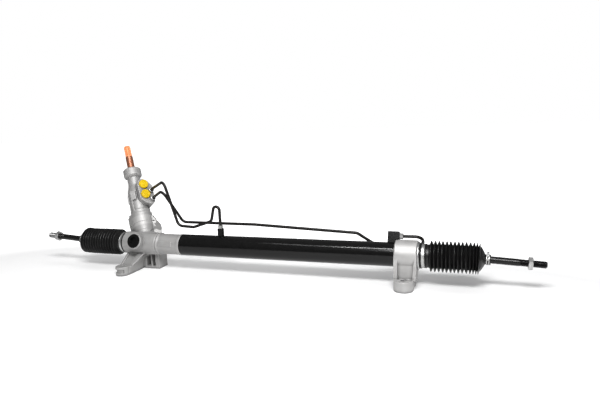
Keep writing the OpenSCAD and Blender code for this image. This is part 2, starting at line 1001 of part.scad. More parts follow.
// Leg with a recessed web between two ribs, narrower towards the mounting plane
module bracket_leg(x0, x1, ring_r) {
    boss_top = -axis_h + boss_h;
    intersection() {
        difference() {
            translate([x0, 0, 0])
                rotate([90, 0, 90])
                    linear_extrude(x1 - x0)
                        polygon([
                            [14, -axis_h], [16, -12], [0, 6], [-ring_r + 1, 6],
                            [-ring_r - 0.7, -4], [-bolt_out, -14], [-bolt_out, boss_top - 2],
                            [-10, boss_top - 2], [-10, -axis_h]
                        ]);
            // Recess between the ribs, with sides that lean inwards
            translate([0, -ring_r + 3.5, 0])
                rotate([90, 0, 0])
                    linear_extrude(40)
                        polygon([
                            [x0 + 8, 10], [x1 - 4, 10], [x1 - 8.5, boss_top], [x0 + 8, boss_top]
                        ]);
        }
        translate([0, 50, 0])
            rotate([90, 0, 0])
                linear_extrude(150)
                    polygon([
                        [x0, 10], [x1, 10], [x1, -18], [x1 - 3, -axis_h + 12],
                        [x1 - 7, -axis_h + 8], [boss_d / 2 - 1, -axis_h], [-boss_d / 2 + 1, -axis_h],
                        [-boss_d / 2 + 1, boss_top], [x0, boss_top]
                    ]);
    }
}

// Rack guide with its liner, spring and screwed plug
module rack_guide() {
    color(cast_grey)
        placed()
            difference() {
                at_guide()
                    translate([0, 0, 3])
                        cylinder(r = guide_r, h = plug_face - plug_l - gap - 3);
                rod_x(pinion_x - 30, rack_r + run_gap + pad_t, 60);
                at_guide()
                    translate([0, 0, spring_z0])
                        cylinder(r = spring_r + wire_r + 0.6, h = 30);
            }
}

module rack_guide_pad() {
    color(nylon)
        placed()
            intersection() {
                translate([pinion_x - 30, 0, 0])
                    rotate([0, 90, 0])
                        ring(rack_r + run_gap + pad_t, rack_r + run_gap, 60);
                at_guide()
                    translate([0, 0, 4])
                        cylinder(r = guide_r - 2, h = 30);
            }
}

module guide_plug() {
    color(gloss_black)
        placed()
            at_guide()
                difference() {
                    translate([0, 0, plug_face - plug_l])
                        cylinder(r = plug_r, h = plug_l);
                    translate([0, 0, plug_face - 5.5]) {
                        hex_prism(17, 6);
                        rotate([0, 0, 30])
                            hex_prism(17, 6);
                    }
                }
}

// Coil spring swept along its own helix
function helix_point(t, turns, h) = [
    spring_r * cos(360 * turns * t),
    spring_r * sin(360 * turns * t),
    wire_r + (h - 2 * wire_r) * t
];
module coil_spring(turns, h, steps, sides) {
    points = [
        for (i = [0 : steps], k = [0 : sides - 1])
            let (
                c = helix_point(i / steps, turns, h),
                out = [cos(360 * turns * i / steps), sin(360 * turns * i / steps), 0],
                a = 360 * k / sides
            )
            c + out * wire_r * cos(a) + [0, 0, wire_r * sin(a)]
    ];
    faces = concat(
        [[for (k = [0 : sides - 1]) k]],
        [
            for (i = [0 : steps - 1], k = [0 : sides - 1])
                let (n = (k + 1) % sides)
                [i * sides + k, (i + 1) * sides + k, (i + 1) * sides + n, i * sides + n]
        ],
        [[for (k = [sides - 1 : -1 : 0]) steps * sides + k]]
    );
    polyhedron(points, faces);
}

module guide_spring() {
    color(steel_grey)
        placed()
            at_guide()
                translate([0, 0, spring_z0])
                    coil_spring(3.75, plug_face - plug_l - spring_z0, 60, 8);
}

// Pinion, its bearings and the rotary valve
function involute(a) = (tan(a) - a * PI / 180) * 180 / PI;
tooth_half = (PI * tooth_m / 4 + correction * tooth_m * tan(press_angle) - backlash / 4)
    / pitch_r * 180 / PI;
function flank(r) = tooth_half + involute(press_angle)
    - (r > base_r ? involute(acos(base_r / r)) : 1.2);
flank_steps = 5;
flank_radii = concat(
    [pinion_root_r],
    [
        for (i = [0 : flank_steps])
            base_r + 0.01 + (pinion_tip_r - base_r - 0.01) * i / flank_steps
    ]
);
pinion_outline = [
    for (t = [0 : pinion_teeth - 1], side = [-1, 1], i = [0 : len(flank_radii) - 1])
        let (
            r = side < 0 ? flank_radii[i] : flank_radii[len(flank_radii) - 1 - i],
            a = -90 + 360 * t / pinion_teeth + side * flank(r)
        )
        [r * cos(a), r * sin(a)]
];

module pinion() {
    color(steel_grey)
        placed()
            at_pinion()
                difference() {
                    union() {
                        translate([0, 0, needle_s0])
                            cylinder(r = journal_r, h = -needle_s0 - pinion_w / 2);
                        translate([0, 0, -pinion_w / 2])
                            linear_extrude(pinion_w)
                                polygon(pinion_outline);
                        translate([0, 0, pinion_w / 2])
                            cylinder(r = pinion_neck_r, h = head_s0 - pinion_w / 2);
                        translate([0, 0, ball_s0 - 2])
                            cylinder(r = pinion_neck_r + 1.5, h = 2);
                        translate([0, 0, head_s0])
                            cylinder(r = valve_r - 1, h = head_s1 - head_s0);
                    }
                    translate([0, 0, 10])
                        cylinder(r = torsion_r, h = head_s1);
                    translate([0, 0, head_s1 - 9])
                        cylinder(r = spigot_shaft_r + run_gap, h = 10);
                    translate([-pinion_tip_r, 0, torsion_pin_s])
                        rotate([0, 90, 0])
                            cylinder(r = torsion_pin_r, h = 2 * pinion_tip_r);
                }
}

module torsion_bar() {
    color(steel_grey)
        placed()
            at_pinion()
                difference() {
                    union() {
                        translate([0, 0, 10])
                            cylinder(r = torsion_r, h = head_s1 - 19);
                        translate([0, 0, head_s1 - 9])
                            cylinder(r = torsion_r - 0.4, h = tip_s - head_s1 + 3);
                    }
                    translate([-10, 0, torsion_pin_s])
                        rotate([0, 90, 0])
                            cylinder(r = torsion_pin_r, h = 20);
                }
}

module torsion_pin() {
    color(steel_grey)
        placed()
            at_pinion()
                translate([-pinion_neck_r + 0.4, 0, torsion_pin_s])
                    rotate([0, 90, 0])
                        cylinder(r = torsion_pin_r, h = 2 * pinion_neck_r - 0.8);
}

module valve_sleeve() {
    color(steel_grey)
        placed()
            at_pinion()
                translate([0, 0, head_s1])
                    difference() {
                        ring(valve_r - 0.7, sleeve_bore_r, sleeve_s1 - head_s1);
                        for (i = [0 : 3])
                            translate([0, 0, ring_place(i)])
                                ring(valve_r, valve_r - 2.2, ring_t);
                        // Oil holes between the rings
                        for (i = [0 : 2], a = [0 : 60 : 300])
                            rotate([0, 0, a + 30 * i])
                                translate([0, 0, ring_place(i) + 12])
                                    rotate([0, 90, 0])
                                        cylinder(r = 1.6, h = valve_r);
                    }
}
function ring_place(i) = 7 + i * (sleeve_s1 - head_s1 - 17) / 3;

module sleeve_rings() {
    color(nylon)
        placed()
            at_pinion()
                for (i = [0 : 3])
                    translate([0, 0, head_s1 + ring_place(i)])
                        ring(valve_r - run_gap, valve_r - 2.2, ring_t);
}

module input_shaft() {
    spline_count = 36;
    color(copper)
        placed()
            at_pinion()
                difference() {
                    union() {
                        translate([0, 0, head_s1 - 8.7])
                            cylinder(r = spigot_shaft_r, h = 10);
                        translate([0, 0, head_s1 + gap])
                            cylinder(r = sleeve_bore_r - run_gap, h = sleeve_s1 + 4 - head_s1);
                        translate([0, 0, sleeve_s1])
                            cylinder(r = shaft_r, h = step_s - sleeve_s1 - 1);
                        translate([0, 0, step_s - 1])
                            cylinder(r1 = shaft_r, r2 = shaft_r - 0.6, h = 1);
                        intersection() {
                            translate([0, 0, step_s - 0.5])
                                linear_extrude(tip_s - step_s + 0.5)
                                    polygon([
                                        for (i = [0 : 2 * spline_count - 1])
                                            let (
                                                r = spline_r - (i % 2) * 0.55,
                                                a = i * 180 / spline_count
                                            )
                                            [r * cos(a), r * sin(a)]
                                    ]);
                            rotate_extrude()
                                polygon([
                                    [0, step_s - 1], [spline_r + 1, step_s - 1],
                                    [spline_r + 1, tip_s - 3], [spline_r - 1.8, tip_s],
                                    [0, tip_s]
                                ]);
                        }
                    }
                    translate([0, 0, head_s1 - 10])
                        cylinder(r = torsion_r + 0.4, h = step_s - head_s1 + 10);
                    translate([0, 0, step_s - 1])
                        cylinder(r = torsion_r - 0.4 + run_gap, h = tip_s);
                    // Control flutes of the rotary valve
                    for (a = [0 : 60 : 300])
                        rotate([0, 0, a])
                            translate([sleeve_bore_r - 0.9, -1.6, head_s1 + 14])
                                cube([2, 3.2, 46]);
                }
}

module pinion_needle_bearing() {
    color(steel_grey)
        placed()
            at_pinion()
                translate([0, 0, needle_s0])
                    ring(needle_r, journal_r + run_gap, needle_s1 - needle_s0);
}

module bearing_groove() {
    translate([0, 0, (ball_s0 + ball_s1) / 2])
        rotate_extrude()
            translate([ball_pitch_r, 0])
                circle(ball_bearing_r + 0.1);
}

module bearing_outer_race() {
    color(steel_grey)
        placed()
            at_pinion()
                difference() {
                    translate([0, 0, ball_s0])
                        ring(ball_race_r, ball_pitch_r + 1.7, ball_s1 - ball_s0);
                    bearing_groove();
                }
}

module bearing_inner_race() {
    color(steel_grey)
        placed()
            at_pinion()
                difference() {
                    translate([0, 0, ball_s0])
                        ring(ball_pitch_r - 1.7, pinion_neck_r, ball_s1 - ball_s0);
                    bearing_groove();
                }
}

module bearing_balls() {
    color(steel_grey)
        placed()
            at_pinion()
                for (a = [0 : 40 : 320])
                    rotate([0, 0, a])
                        translate([ball_pitch_r, 0, (ball_s0 + ball_s1) / 2])
                            sphere(ball_bearing_r);
}

// Rack bar with slanted teeth, and its piston
module rack() {
    tooth_l = rack_slots * slot_pitch;
    space = (PI * tooth_m / 2 + backlash / 2) / 2;
    rise = slot_depth - tooth_m;
    color(steel_grey)
        placed()
            difference() {
                union() {
                    rod_x(rack_x - rack_half, rack_r, 2 * rack_half);
                    rod_x(rack_x - rack_half - 13, 8, 2 * rack_half + 26);
                }
                at_rack_face() {
                    translate([-tooth_l / 2, tooth_flat, -rack_r - 1])
                        cube([tooth_l, rack_d, rack_d + 2]);
                    for (i = [-(rack_slots - 1) / 2 : (rack_slots - 1) / 2])
                        translate([i * slot_pitch, 0, 0])
                            rotate([0, -lean_left, 0])
                                translate([0, 0, -rack_d])
                                    linear_extrude(2 * rack_d)
                                        polygon([
                                            [-space + rise * tan(press_angle), tooth_flat - slot_depth],
                                            [space - rise * tan(press_angle), tooth_flat - slot_depth],
                                            [space + (tooth_m + 1) * tan(press_angle), tooth_flat + 1],
                                            [-space - (tooth_m + 1) * tan(press_angle), tooth_flat + 1]
                                        ]);
                }
            }
}

module piston() {
    color(steel_grey)
        placed()
            translate([piston_x - piston_w / 2, 0, 0])
                rotate([0, 90, 0])
                    difference() {
                        ring(bore_r - 0.4, rack_r, piston_w);
                        translate([0, 0, piston_w / 2 - 2])
                            ring(bore_r + 1, bore_r - 3, 4);
                    }
}

module piston_ring() {
    color(nylon)
        placed()
            translate([piston_x - 2, 0, 0])
                rotate([0, 90, 0])
                    ring(bore_r - run_gap, bore_r - 3, 4);
}

// Inner ball joints, drawn for the right side about the ball's centre
module at_ball(side) {
    translate([rack_x + side * half_ball, 0, 0])
        mirror([side < 0 ? 1 : 0, 0, 0])
            children();
}

module ball_socket(side) {
    color(steel_grey)
        placed()
            at_ball(side)
                difference() {
                    rotate([0, 90, 0])
                        rotate_extrude()
                            difference() {
                                polygon([
                                    [8, -socket_back], [socket_r - 3, -socket_back],
                                    [socket_r - 1.5, -socket_back + 1.5],
                                    [socket_r - 1.5, -18], [socket_r, -14], [socket_r, 8],
                                    [socket_r - 1.5, socket_front],
                                    [socket_r - 3, socket_front], [11, 8], [8, 0]
                                ]);
                                circle(ball_seat_r);
                            }
                    // Spanner flats
                    for (z = [-1, 1])
                        translate([-socket_back - 1, -20, z > 0 ? 14.5 : -24.5])
                            cube([14, 40, 10]);
                }
}

module ball_seat(side) {
    color(nylon)
        placed()
            at_ball(side)
                rotate([0, 90, 0])
                    rotate_extrude()
                        difference() {
                            circle(ball_seat_r);
                            circle(ball_r + ball_gap);
                            translate([-40, -40])
                                square([40, 80]);
                            translate([-1, 4])
                                square(40);
                        }
}

module tie_rod(side, tilt) {
    color(soft_black)
        placed()
            at_ball(side)
                rotate([0, 90 + tilt, 0])
                    rotate_extrude()
                        difference() {
                            union() {
                                circle(ball_r);
                                polygon([
                                    [0, 0], [rod_neck_r, 0], [rod_neck_r, 18],
                                    [rod_shank_r, 22], [rod_shank_r, ball_in + 9],
                                    [rod_r - 0.4, ball_in + 10],
                                    [rod_r - 0.4, rod_tip - thread_l - 1],
                                    [rod_r, rod_tip - thread_l], [rod_r, rod_tip - 2],
                                    [rod_r - 2, rod_tip], [0, rod_tip]
                                ]);
                            }
                            translate([-40, -40])
                                square([40, 80]);
                        }
}

module lock_nut(side, tilt) {
    color(zinc)
        placed()
            at_ball(side)
                rotate([0, tilt, 0])
                    translate([rod_tip - nut_back, 0, 0])
                        rotate([0, 90, 0])
                            difference() {
                                chamfered_hex(nut_af, nut_l, 1.2);
                                translate([0, 0, -1])
                                    cylinder(r = rod_r, h = nut_l + 2);
                            }
}

// Folded rubber boots. Places are measured from the boot's big end, and the small end
// is turned about the ball's centre with the tie rod
fold_shape = [
    [0.05, 0], [0.18, 0.12], [0.38, 0.86], [0.5, 1], [0.62, 0.86], [0.82, 0.12], [0.95, 0]
];
function fold_points(l, drop) = let (pitch = (l - cone_l - fold_x0) / folds) [
    for (i = [0 : folds - 1], p = fold_shape)
        [valley_r - drop + p[1] * (fold_d / 2 - valley_r), fold_x0 + (i + p[0]) * pitch]
];

module boot(side, tilt) {
    l = boot_len - side * rack_shift;
    lip_x = -band_w - lip_w + gap;
    cone_x = ball_in - cone_l;
    end_r = small_end_r - boot_wall;
    color(soft_black)
        placed()
            difference() {
                union() {
                    at_boot(side)
                        turned_x(concat(
                            [
                                [0, lip_x], [lip_r, lip_x], [lip_r, -band_w], [cuff_r, -band_w],
                                [cuff_r, 0.4], [lip_r - 1.4, 0.6], [lip_r - 1.4, 2.4],
                                [valley_r - 0.6, 4]
                            ],
                            fold_points(l, 0),
                            [[valley_r - 0.6, l - cone_l + 0.6], [0, l - cone_l + 0.6]]
                        ));
                    at_ball(side)
                        rotate([0, tilt, 0])
                            turned_x([
                                [0, cone_x - 3], [valley_r - 0.8, cone_x - 3],
                                [valley_r - 0.8, cone_x], [small_end_r + 2.4, ball_in - 1],
                                [small_end_r, ball_in], [small_end_r, ball_in + clip_w + 1],
                                [small_end_r + 1.4, ball_in + clip_w + 1.2],
                                [small_end_r + 1.4, ball_in + clip_w + 2.6],
                                [0, ball_in + clip_w + 2.6]
                            ]);
                }
                at_boot(side)
                    turned_x(concat(
                        [[0, lip_x - 1], [cuff_r - boot_wall, lip_x - 1], [cuff_r - boot_wall, 2]],
                        fold_points(l, 2 * boot_wall),
                        [[valley_r - 2 * boot_wall, l - cone_l + 1.6], [0, l - cone_l + 1.6]]
                    ));
                at_ball(side)
                    rotate([0, tilt, 0])
                        turned_x([
                            [0, cone_x - 4], [valley_r - 2 * boot_wall, cone_x - 4],
                            [valley_r - 2 * boot_wall, cone_x - 0.6], [end_r, ball_in - 1],
                            [end_r, ball_in + 20], [0, ball_in + 20]
                        ]);
            }
}

module at_boot(side) {
    translate([mid_x, 0, 0])
        mirror([side < 0 ? 1 : 0, 0, 0])
            translate([half_span + band_w, 0, 0])
                children();
}

module boot_band(side) {
    color(zinc)
        placed()
            at_boot(side)
                translate([0.3 - band_w, 0, 0])
                    rotate([0, 90, 0])
                        ring(cuff_r + gap + band_t, cuff_r + gap, band_w - 0.6);
}

module boot_clip(side, tilt) {
    color(zinc)
        placed()
            at_ball(side)
                rotate([0, tilt, 0])
                    translate([ball_in + 0.8, 0, 0])
                        rotate([0, 90, 0]) {
                            ring(small_end_r + gap + 1, small_end_r + gap, clip_w - 0.6);
                            // Ears of the spring clip
                            for (y = [-2.6, 1.6])
                                translate([-small_end_r - 7, y, 1])
                                    cube([6.5, 1, clip_w - 2.6]);
                        }
}

module left_ball_socket() {
    ball_socket(-1);
}

module right_ball_socket() {
    ball_socket(1);
}

module left_ball_seat() {
    ball_seat(-1);
}

module right_ball_seat() {
    ball_seat(1);
}

module left_tie_rod() {
    tie_rod(-1, -rise_left);
}

module right_tie_rod() {
    tie_rod(1, droop_right);
}

module left_lock_nut() {
    lock_nut(-1, -rise_left);
}

module right_lock_nut() {
    lock_nut(1, droop_right);
}

module left_boot() {
    boot(-1, -rise_left);
}

module right_boot() {
    boot(1, droop_right);
}

module left_boot_band() {
    boot_band(-1);
}

module right_boot_band() {
    boot_band(1);
}

module left_boot_clip() {
    boot_clip(-1, -rise_left);
}

module right_boot_clip() {
    boot_clip(1, droop_right);
}

rack_housing();
cylinder_tube();
left_cylinder_port();
right_cylinder_port();
right_bracket();
end_retainer();
rack_bush();
right_rack_seal();
left_rack_seal();
left_seal_holder();
rack_guide();
rack_guide_pad();
guide_spring();
guide_plug();
pinion_needle_bearing();
bearing_outer_race();
bearing_balls();
bearing_inner_race();
pinion();
torsion_bar();
valve_sleeve();
sleeve_rings();
input_shaft();
torsion_pin();
valve_housing();
flange_o_ring();
flange_bolts();
pinion_seal();
input_bearing();
shaft_seal();
return_cap();
pressure_cap();
valve_pipe_nuts();
cylinder_pipe_nuts();
left_feed_pipe();
right_feed_pipe();
rack();
piston();
piston_ring();
left_ball_socket();
right_ball_socket();
left_ball_seat();
right_ball_seat();
left_tie_rod();
right_tie_rod();
left_lock_nut();
right_lock_nut();
left_boot();
right_boot();
left_boot_band();
right_boot_band();
left_boot_clip();
right_boot_clip();
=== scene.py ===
# Looks of a rack-and-pinion steering gear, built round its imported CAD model
import json
import math
import bmesh
import bpy
import numpy as np
from mathutils import Matrix, Vector

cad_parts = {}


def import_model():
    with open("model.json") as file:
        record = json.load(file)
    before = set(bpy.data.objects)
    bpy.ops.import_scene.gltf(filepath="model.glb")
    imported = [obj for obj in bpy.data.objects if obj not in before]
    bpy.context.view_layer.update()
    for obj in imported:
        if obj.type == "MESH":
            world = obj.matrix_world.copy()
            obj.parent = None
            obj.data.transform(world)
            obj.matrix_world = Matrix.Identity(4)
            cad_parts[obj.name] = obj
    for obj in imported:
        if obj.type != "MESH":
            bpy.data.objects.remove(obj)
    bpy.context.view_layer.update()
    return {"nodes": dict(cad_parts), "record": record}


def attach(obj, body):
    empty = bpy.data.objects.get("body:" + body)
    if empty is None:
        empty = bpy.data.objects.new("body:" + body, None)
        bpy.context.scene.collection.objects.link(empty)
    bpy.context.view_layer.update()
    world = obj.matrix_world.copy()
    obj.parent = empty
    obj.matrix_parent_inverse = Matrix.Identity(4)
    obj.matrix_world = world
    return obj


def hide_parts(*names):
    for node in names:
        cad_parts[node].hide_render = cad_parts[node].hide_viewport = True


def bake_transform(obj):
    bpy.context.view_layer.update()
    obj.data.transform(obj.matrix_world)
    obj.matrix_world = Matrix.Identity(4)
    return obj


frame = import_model()
nodes = frame["nodes"]

# Driving dimensions, as in the CAD source, in millimetres. Places are along the rack
MM = 0.001
AXIS_POINT = Vector((0, 34, 64))
PINION_X = -636
PINION_OFF = 16.49
LEAN_BACK = 20
LEAN_LEFT = 21.5
PORT_DIR = 55
PORT_FACE = 36
TUBE_R = 25
TUBE_WALL = 3
TUBE_X = (-523, 27)
RETAINER_X = (25.7, 30)
RIGHT_END = 33
LEFT_END = -683
MID_X = (LEFT_END + RIGHT_END) / 2
RACK_SHIFT = 4
BALL_IN = 30
BAND_W = 7
BOOT_L = 119
HALF_SPAN = (RIGHT_END - LEFT_END) / 2
HALF_BALL = HALF_SPAN + BAND_W + BOOT_L - BALL_IN
ROD_TIP = 140.5
ROD_R = 7
NUT_BACK = 33.4
NUT_L = 8.5
NUT_AF = 22
TILT = {"left": 4.0, "right": -2.9}
SIDE = {"left": -1, "right": 1}

# Limits of the mesh tools, in millimetres and radians, and how fine the castings are
WELD = 0.002
SAME_POINT = 1e-6
STRAIGHT = 0.06
CHAMFER_SLOPE = 1.6
SINK = 0.9
CAST_KEEP = 0.4


def shift(x, y, z):
    return Matrix.Translation((x, y, z))


def turn(angle, axis):
    return Matrix.Rotation(math.radians(angle), 4, axis)


HERE = Matrix.Identity(4)
X_TO_Z = turn(-90, "Y")
RACK_FACE = shift(PINION_X, 0, 0) @ turn(-LEAN_BACK, "X")
PINION = RACK_FACE @ shift(0, PINION_OFF, 0) @ turn(-LEAN_LEFT, "Y")


def port_frame(s, q, d):
    """A frame on the port face, whose Z points out of it."""
    return PINION @ turn(PORT_DIR, "Z") @ shift(q, -d, s) @ turn(90, "X")


def ball_frame(side):
    """A frame at a ball joint's centre, whose X points out along the tie rod."""
    sign = SIDE[side]
    centre = shift(MID_X - RACK_SHIFT + sign * HALF_BALL, 0, 0)
    facing = HERE if sign > 0 else turn(180, "Z")
    return centre @ facing @ turn(-TILT[side], "Y")


# Meshes
def new_object(name, data):
    obj = bpy.data.objects.new(name, data)
    bpy.context.scene.collection.objects.link(obj)
    return obj


def make(name, points, faces, place=HERE, sharp=40):
    """A mesh from points in millimetres, given in the frame place over the rack's axis."""
    mesh = bpy.data.meshes.new(name)
    moved = [(place @ Vector(p) + AXIS_POINT) * MM for p in points]
    mesh.from_pydata(moved, [], faces)
    bm = bmesh.new()
    bm.from_mesh(mesh)
    bmesh.ops.remove_doubles(bm, verts=bm.verts, dist=WELD * MM)
    bmesh.ops.recalc_face_normals(bm, faces=bm.faces)
    bm.to_mesh(mesh)
    bm.free()
    return soften(new_object(name, mesh), sharp)


def soften(obj, sharp=40):
    """Smooth shading between the edges sharper than an angle, weighted by the faces' size."""
    smooth(obj)
    obj.data.set_sharp_from_angle(angle=math.radians(sharp))
    weighted = obj.modifiers.new("normals", "WEIGHTED_NORMAL")
    weighted.keep_sharp = True
    return obj


def smooth(obj):
    for polygon in obj.data.polygons:
        polygon.use_smooth = True


def join(name, objects):
    """One object from several, under a new name."""
    bm = bmesh.new()
    for obj in objects:
        bm.from_mesh(obj.data)
    mesh = bpy.data.meshes.new(name)
    bm.to_mesh(mesh)
    bm.free()
    for obj in objects:
        bpy.data.objects.remove(obj)
    return soften(new_object(name, mesh))


def ring(x, radius, sides):
    """Points round the X axis. The radius is a number, or a function of place and angle."""
    points = []
    for k in range(sides):
        a = 2 * math.pi * k / sides
        r = radius(x, a) if callable(radius) else radius
        points.append((x, r * math.cos(a), r * math.sin(a)))
    return points


def ring_faces(rows, sides, closed=True):
    """Faces between rows of points round an axis, and from the last row to the first."""
    faces = []
    for i in range(rows if closed else rows - 1):
        j = (i + 1) % rows
        for k in range(sides):
            n = (k + 1) % sides
            faces.append((i * sides + k, i * sides + n, j * sides + n, j * sides + k))
    return faces


def rounded(points, radius, steps=4):
    """A closed profile with each of its corners filleted, as far as the sides next to it allow."""
    count = len(points)
    result = []
    for i, corner in enumerate(points):
        p = Vector(corner)
        before = Vector(points[i - 1]) - p
        after = Vector(points[(i + 1) % count]) - p
        if before.length < SAME_POINT or after.length < SAME_POINT:
            continue
        bend = math.pi - before.angle(after)
        if bend < STRAIGHT:
            result.append(tuple(corner))
            continue
        reach = min(radius * math.tan(bend / 2), 0.45 * before.length, 0.45 * after.length)
        a = p + before.normalized() * reach
        b = p + after.normalized() * reach
        for k in range(steps + 1):
            t = k / steps
            result.append(tuple(a * (1 - t) ** 2 + p * (2 * t * (1 - t)) + b * t * t))
    return result


def turned(name, profile, place=HERE, closed=False, sides=96, sharp=40):
    """A profile of (place along X, radius) points turned about the X axis."""
    points = [p for x, r in profile for p in ring(x, r, sides)]
    return make(name, points, ring_faces(len(profile), sides, closed), place, sharp)


def shaped(name, xs, radius, place, sides, sharp):
    """A closed form about the X axis, whose radius is a function of place and angle."""
    points = [(xs[0], 0, 0)]
    for x in xs:
        points += ring(x, radius, sides)
    points.append((xs[-1], 0, 0))
    last = len(points) - 1
    faces = []
    for k in range(sides):
        n = (k + 1) % sides
        faces.append((0, 1 + n, 1 + k))
        for i in range(len(xs) - 1):
            a, b = 1 + i * sides, 1 + (i + 1) * sides
            faces.append((a + k, a + n, b + n, b + k))
        end = 1 + (len(xs) - 1) * sides
        faces.append((end + k, end + n, last))
    return make(name, points, faces, place, sharp)


def hexagon_nut(name, af, length, bore, place, chamfer=1.3):
    """A hexagon nut: chamfered at both faces, with a countersunk bore."""
    corner = af / math.sqrt(3)
    levels = [0, 0.25, 0.5, 0.75, 1]
    xs = [t * chamfer for t in levels] + [length - t * chamfer for t in reversed(levels)]
    sides = 120

    def outer(x, a):
        flat = (af / 2) / math.cos((a + math.pi / 6) % (math.pi / 3) - math.pi / 6)
        from_face = min(x, length - x)
        cone = corner - (chamfer - from_face) * CHAMFER_SLOPE if from_face < chamfer else corner
        return min(flat, cone)

    rows = [(x, outer) for x in xs]
    rows += [(length, bore + SINK), (length - SINK, bore), (SINK, bore), (0, bore + SINK)]
    points = [p for x, r in rows for p in ring(x, r, sides)]
    return make(name, points, ring_faces(len(rows), sides), place, 24)


def swept(name, path, radius, sides=20):
    """A round pipe along a path of points, with closed ends."""
    path = [Vector(p) for p in path]
    ahead = (path[1] - path[0]).normalized()
    side = ahead.orthogonal().normalized()
    points = []
    for i, p in enumerate(path):
        lead = path[min(i + 1, len(path) - 1)] - path[max(i - 1, 0)]
        lead.normalize()
        side = (side - lead * side.dot(lead)).normalized()
        other = lead.cross(side)
        for k in range(sides):
            a = 2 * math.pi * k / sides
            points.append(p + (side * math.cos(a) + other * math.sin(a)) * radius)
    faces = ring_faces(len(path), sides, closed=False)
    faces.append(tuple(range(sides)))
    end = (len(path) - 1) * sides
    faces.append(tuple(end + k for k in range(sides)))
    return make(name, points, faces, HERE, 50)


def bent(corners, bends, steps=12):
    """The centre line through a pipe's corners, with a round bend at each."""
    path = [Vector(corners[0])]
    for i in range(1, len(corners) - 1):
        p = Vector(corners[i])
        before = (Vector(corners[i - 1]) - p).normalized()
        after = (Vector(corners[i + 1]) - p).normalized()
        half = before.angle(after) / 2
        reach = bends[i] / math.tan(half)
        centre = p + (before + after).normalized() * bends[i] / math.sin(half)
        a = p + before * reach - centre
        b = p + after * reach - centre
        for k in range(steps + 1):
            path.append(centre + a.slerp(b, k / steps) * bends[i])
    path.append(Vector(corners[-1]))
    return path


def box(name, low, high, place=HERE):
    """A block between two corners, in the frame place."""
    xs, ys, zs = zip(low, high)
    points = [(x, y, z) for x in xs for y in ys for z in zs]
    faces = [(0, 1, 3, 2), (4, 6, 7, 5), (0, 4, 5, 1), (2, 3, 7, 6), (0, 2, 6, 4), (1, 5, 7, 3)]
    return make(name, points, faces, place)


def cast_form(name, node, voxel, smoothing):
    """A casting: the CAD form made into one skin of small faces with soft edges."""
    bm = bmesh.new()
    bm.from_mesh(nodes[node].data)
    bmesh.ops.remove_doubles(bm, verts=bm.verts, dist=WELD * MM)
    mesh = bpy.data.meshes.new(name)
    bm.to_mesh(mesh)
    bm.free()
    obj = new_object(name, mesh)
    remesh = obj.modifiers.new("skin", "REMESH")
    remesh.mode = "VOXEL"
    remesh.voxel_size = voxel * MM * 1
    softer = obj.modifiers.new("soft", "SMOOTH")
    softer.factor = 0.5
    softer.iterations = smoothing
    thinner = obj.modifiers.new("thin", "DECIMATE")
    thinner.ratio = CAST_KEEP
    bake(obj)
    smooth(obj)
    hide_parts(node)
    return obj


def bake(obj):
    """Applies every modifier to the object's mesh."""
    graph = bpy.context.evaluated_depsgraph_get()
    graph.update()
    mesh = bpy.data.meshes.new_from_object(obj.evaluated_get(graph))
    obj.modifiers.clear()
    obj.data = mesh


# Materials
class Graph:
    """A node tree, with short ways to add nodes and to wire them."""

    def __init__(self, tree):
        self.tree = tree

    def add(self, kind, **inputs):
        """A new node with values in its sockets: _ stands for a space in a socket's name."""
        node = self.tree.nodes.new(kind)
        for key, value in inputs.items():
            node.inputs[key.replace("_", " ")].default_value = value
        return node

    def link(self, a, b):
        self.tree.links.new(a, b)

    def span(self, source, low, high, start=0.0, end=1.0, kind="LINEAR"):
        """A value that runs from low to high while its source runs from start to end."""
        node = self.add("ShaderNodeMapRange", From_Min=start, From_Max=end, To_Min=low, To_Max=high)
        node.interpolation_type = kind
        self.link(source, node.inputs["Value"])
        return node.outputs["Result"]

    def ramp(self, source, stops):
        """A colour from a value, through a ramp of (place, colour) stops."""
        ramp = self.add("ShaderNodeValToRGB")
        elements = ramp.color_ramp.elements
        while len(elements) < len(stops):
            elements.new(0.5)
        for element, (at, colour) in zip(elements, stops):
            element.position = at
            element.color = (*colour, 1)
        self.link(source, ramp.inputs["Fac"])
        return ramp.outputs["Color"]

    def mix(self, a, b, factor, kind="MIX"):
        """Two colours mixed. Each of a, b and factor is a socket or a value."""
        node = self.add("ShaderNodeMix")
        node.data_type = "RGBA"
        node.blend_type = kind
        for key, source in (("A", a), ("B", b), ("Factor", factor)):
            if isinstance(source, bpy.types.NodeSocket):
                self.link(source, node.inputs[key])
            else:
                node.inputs[key].default_value = source
        return node.outputs["Result"]

    def maths(self, operation, *sources):
        node = self.add("ShaderNodeMath")
        node.operation = operation
        for source, socket in zip(sources, node.inputs):
            self.link(source, socket)
        return node.outputs["Value"]


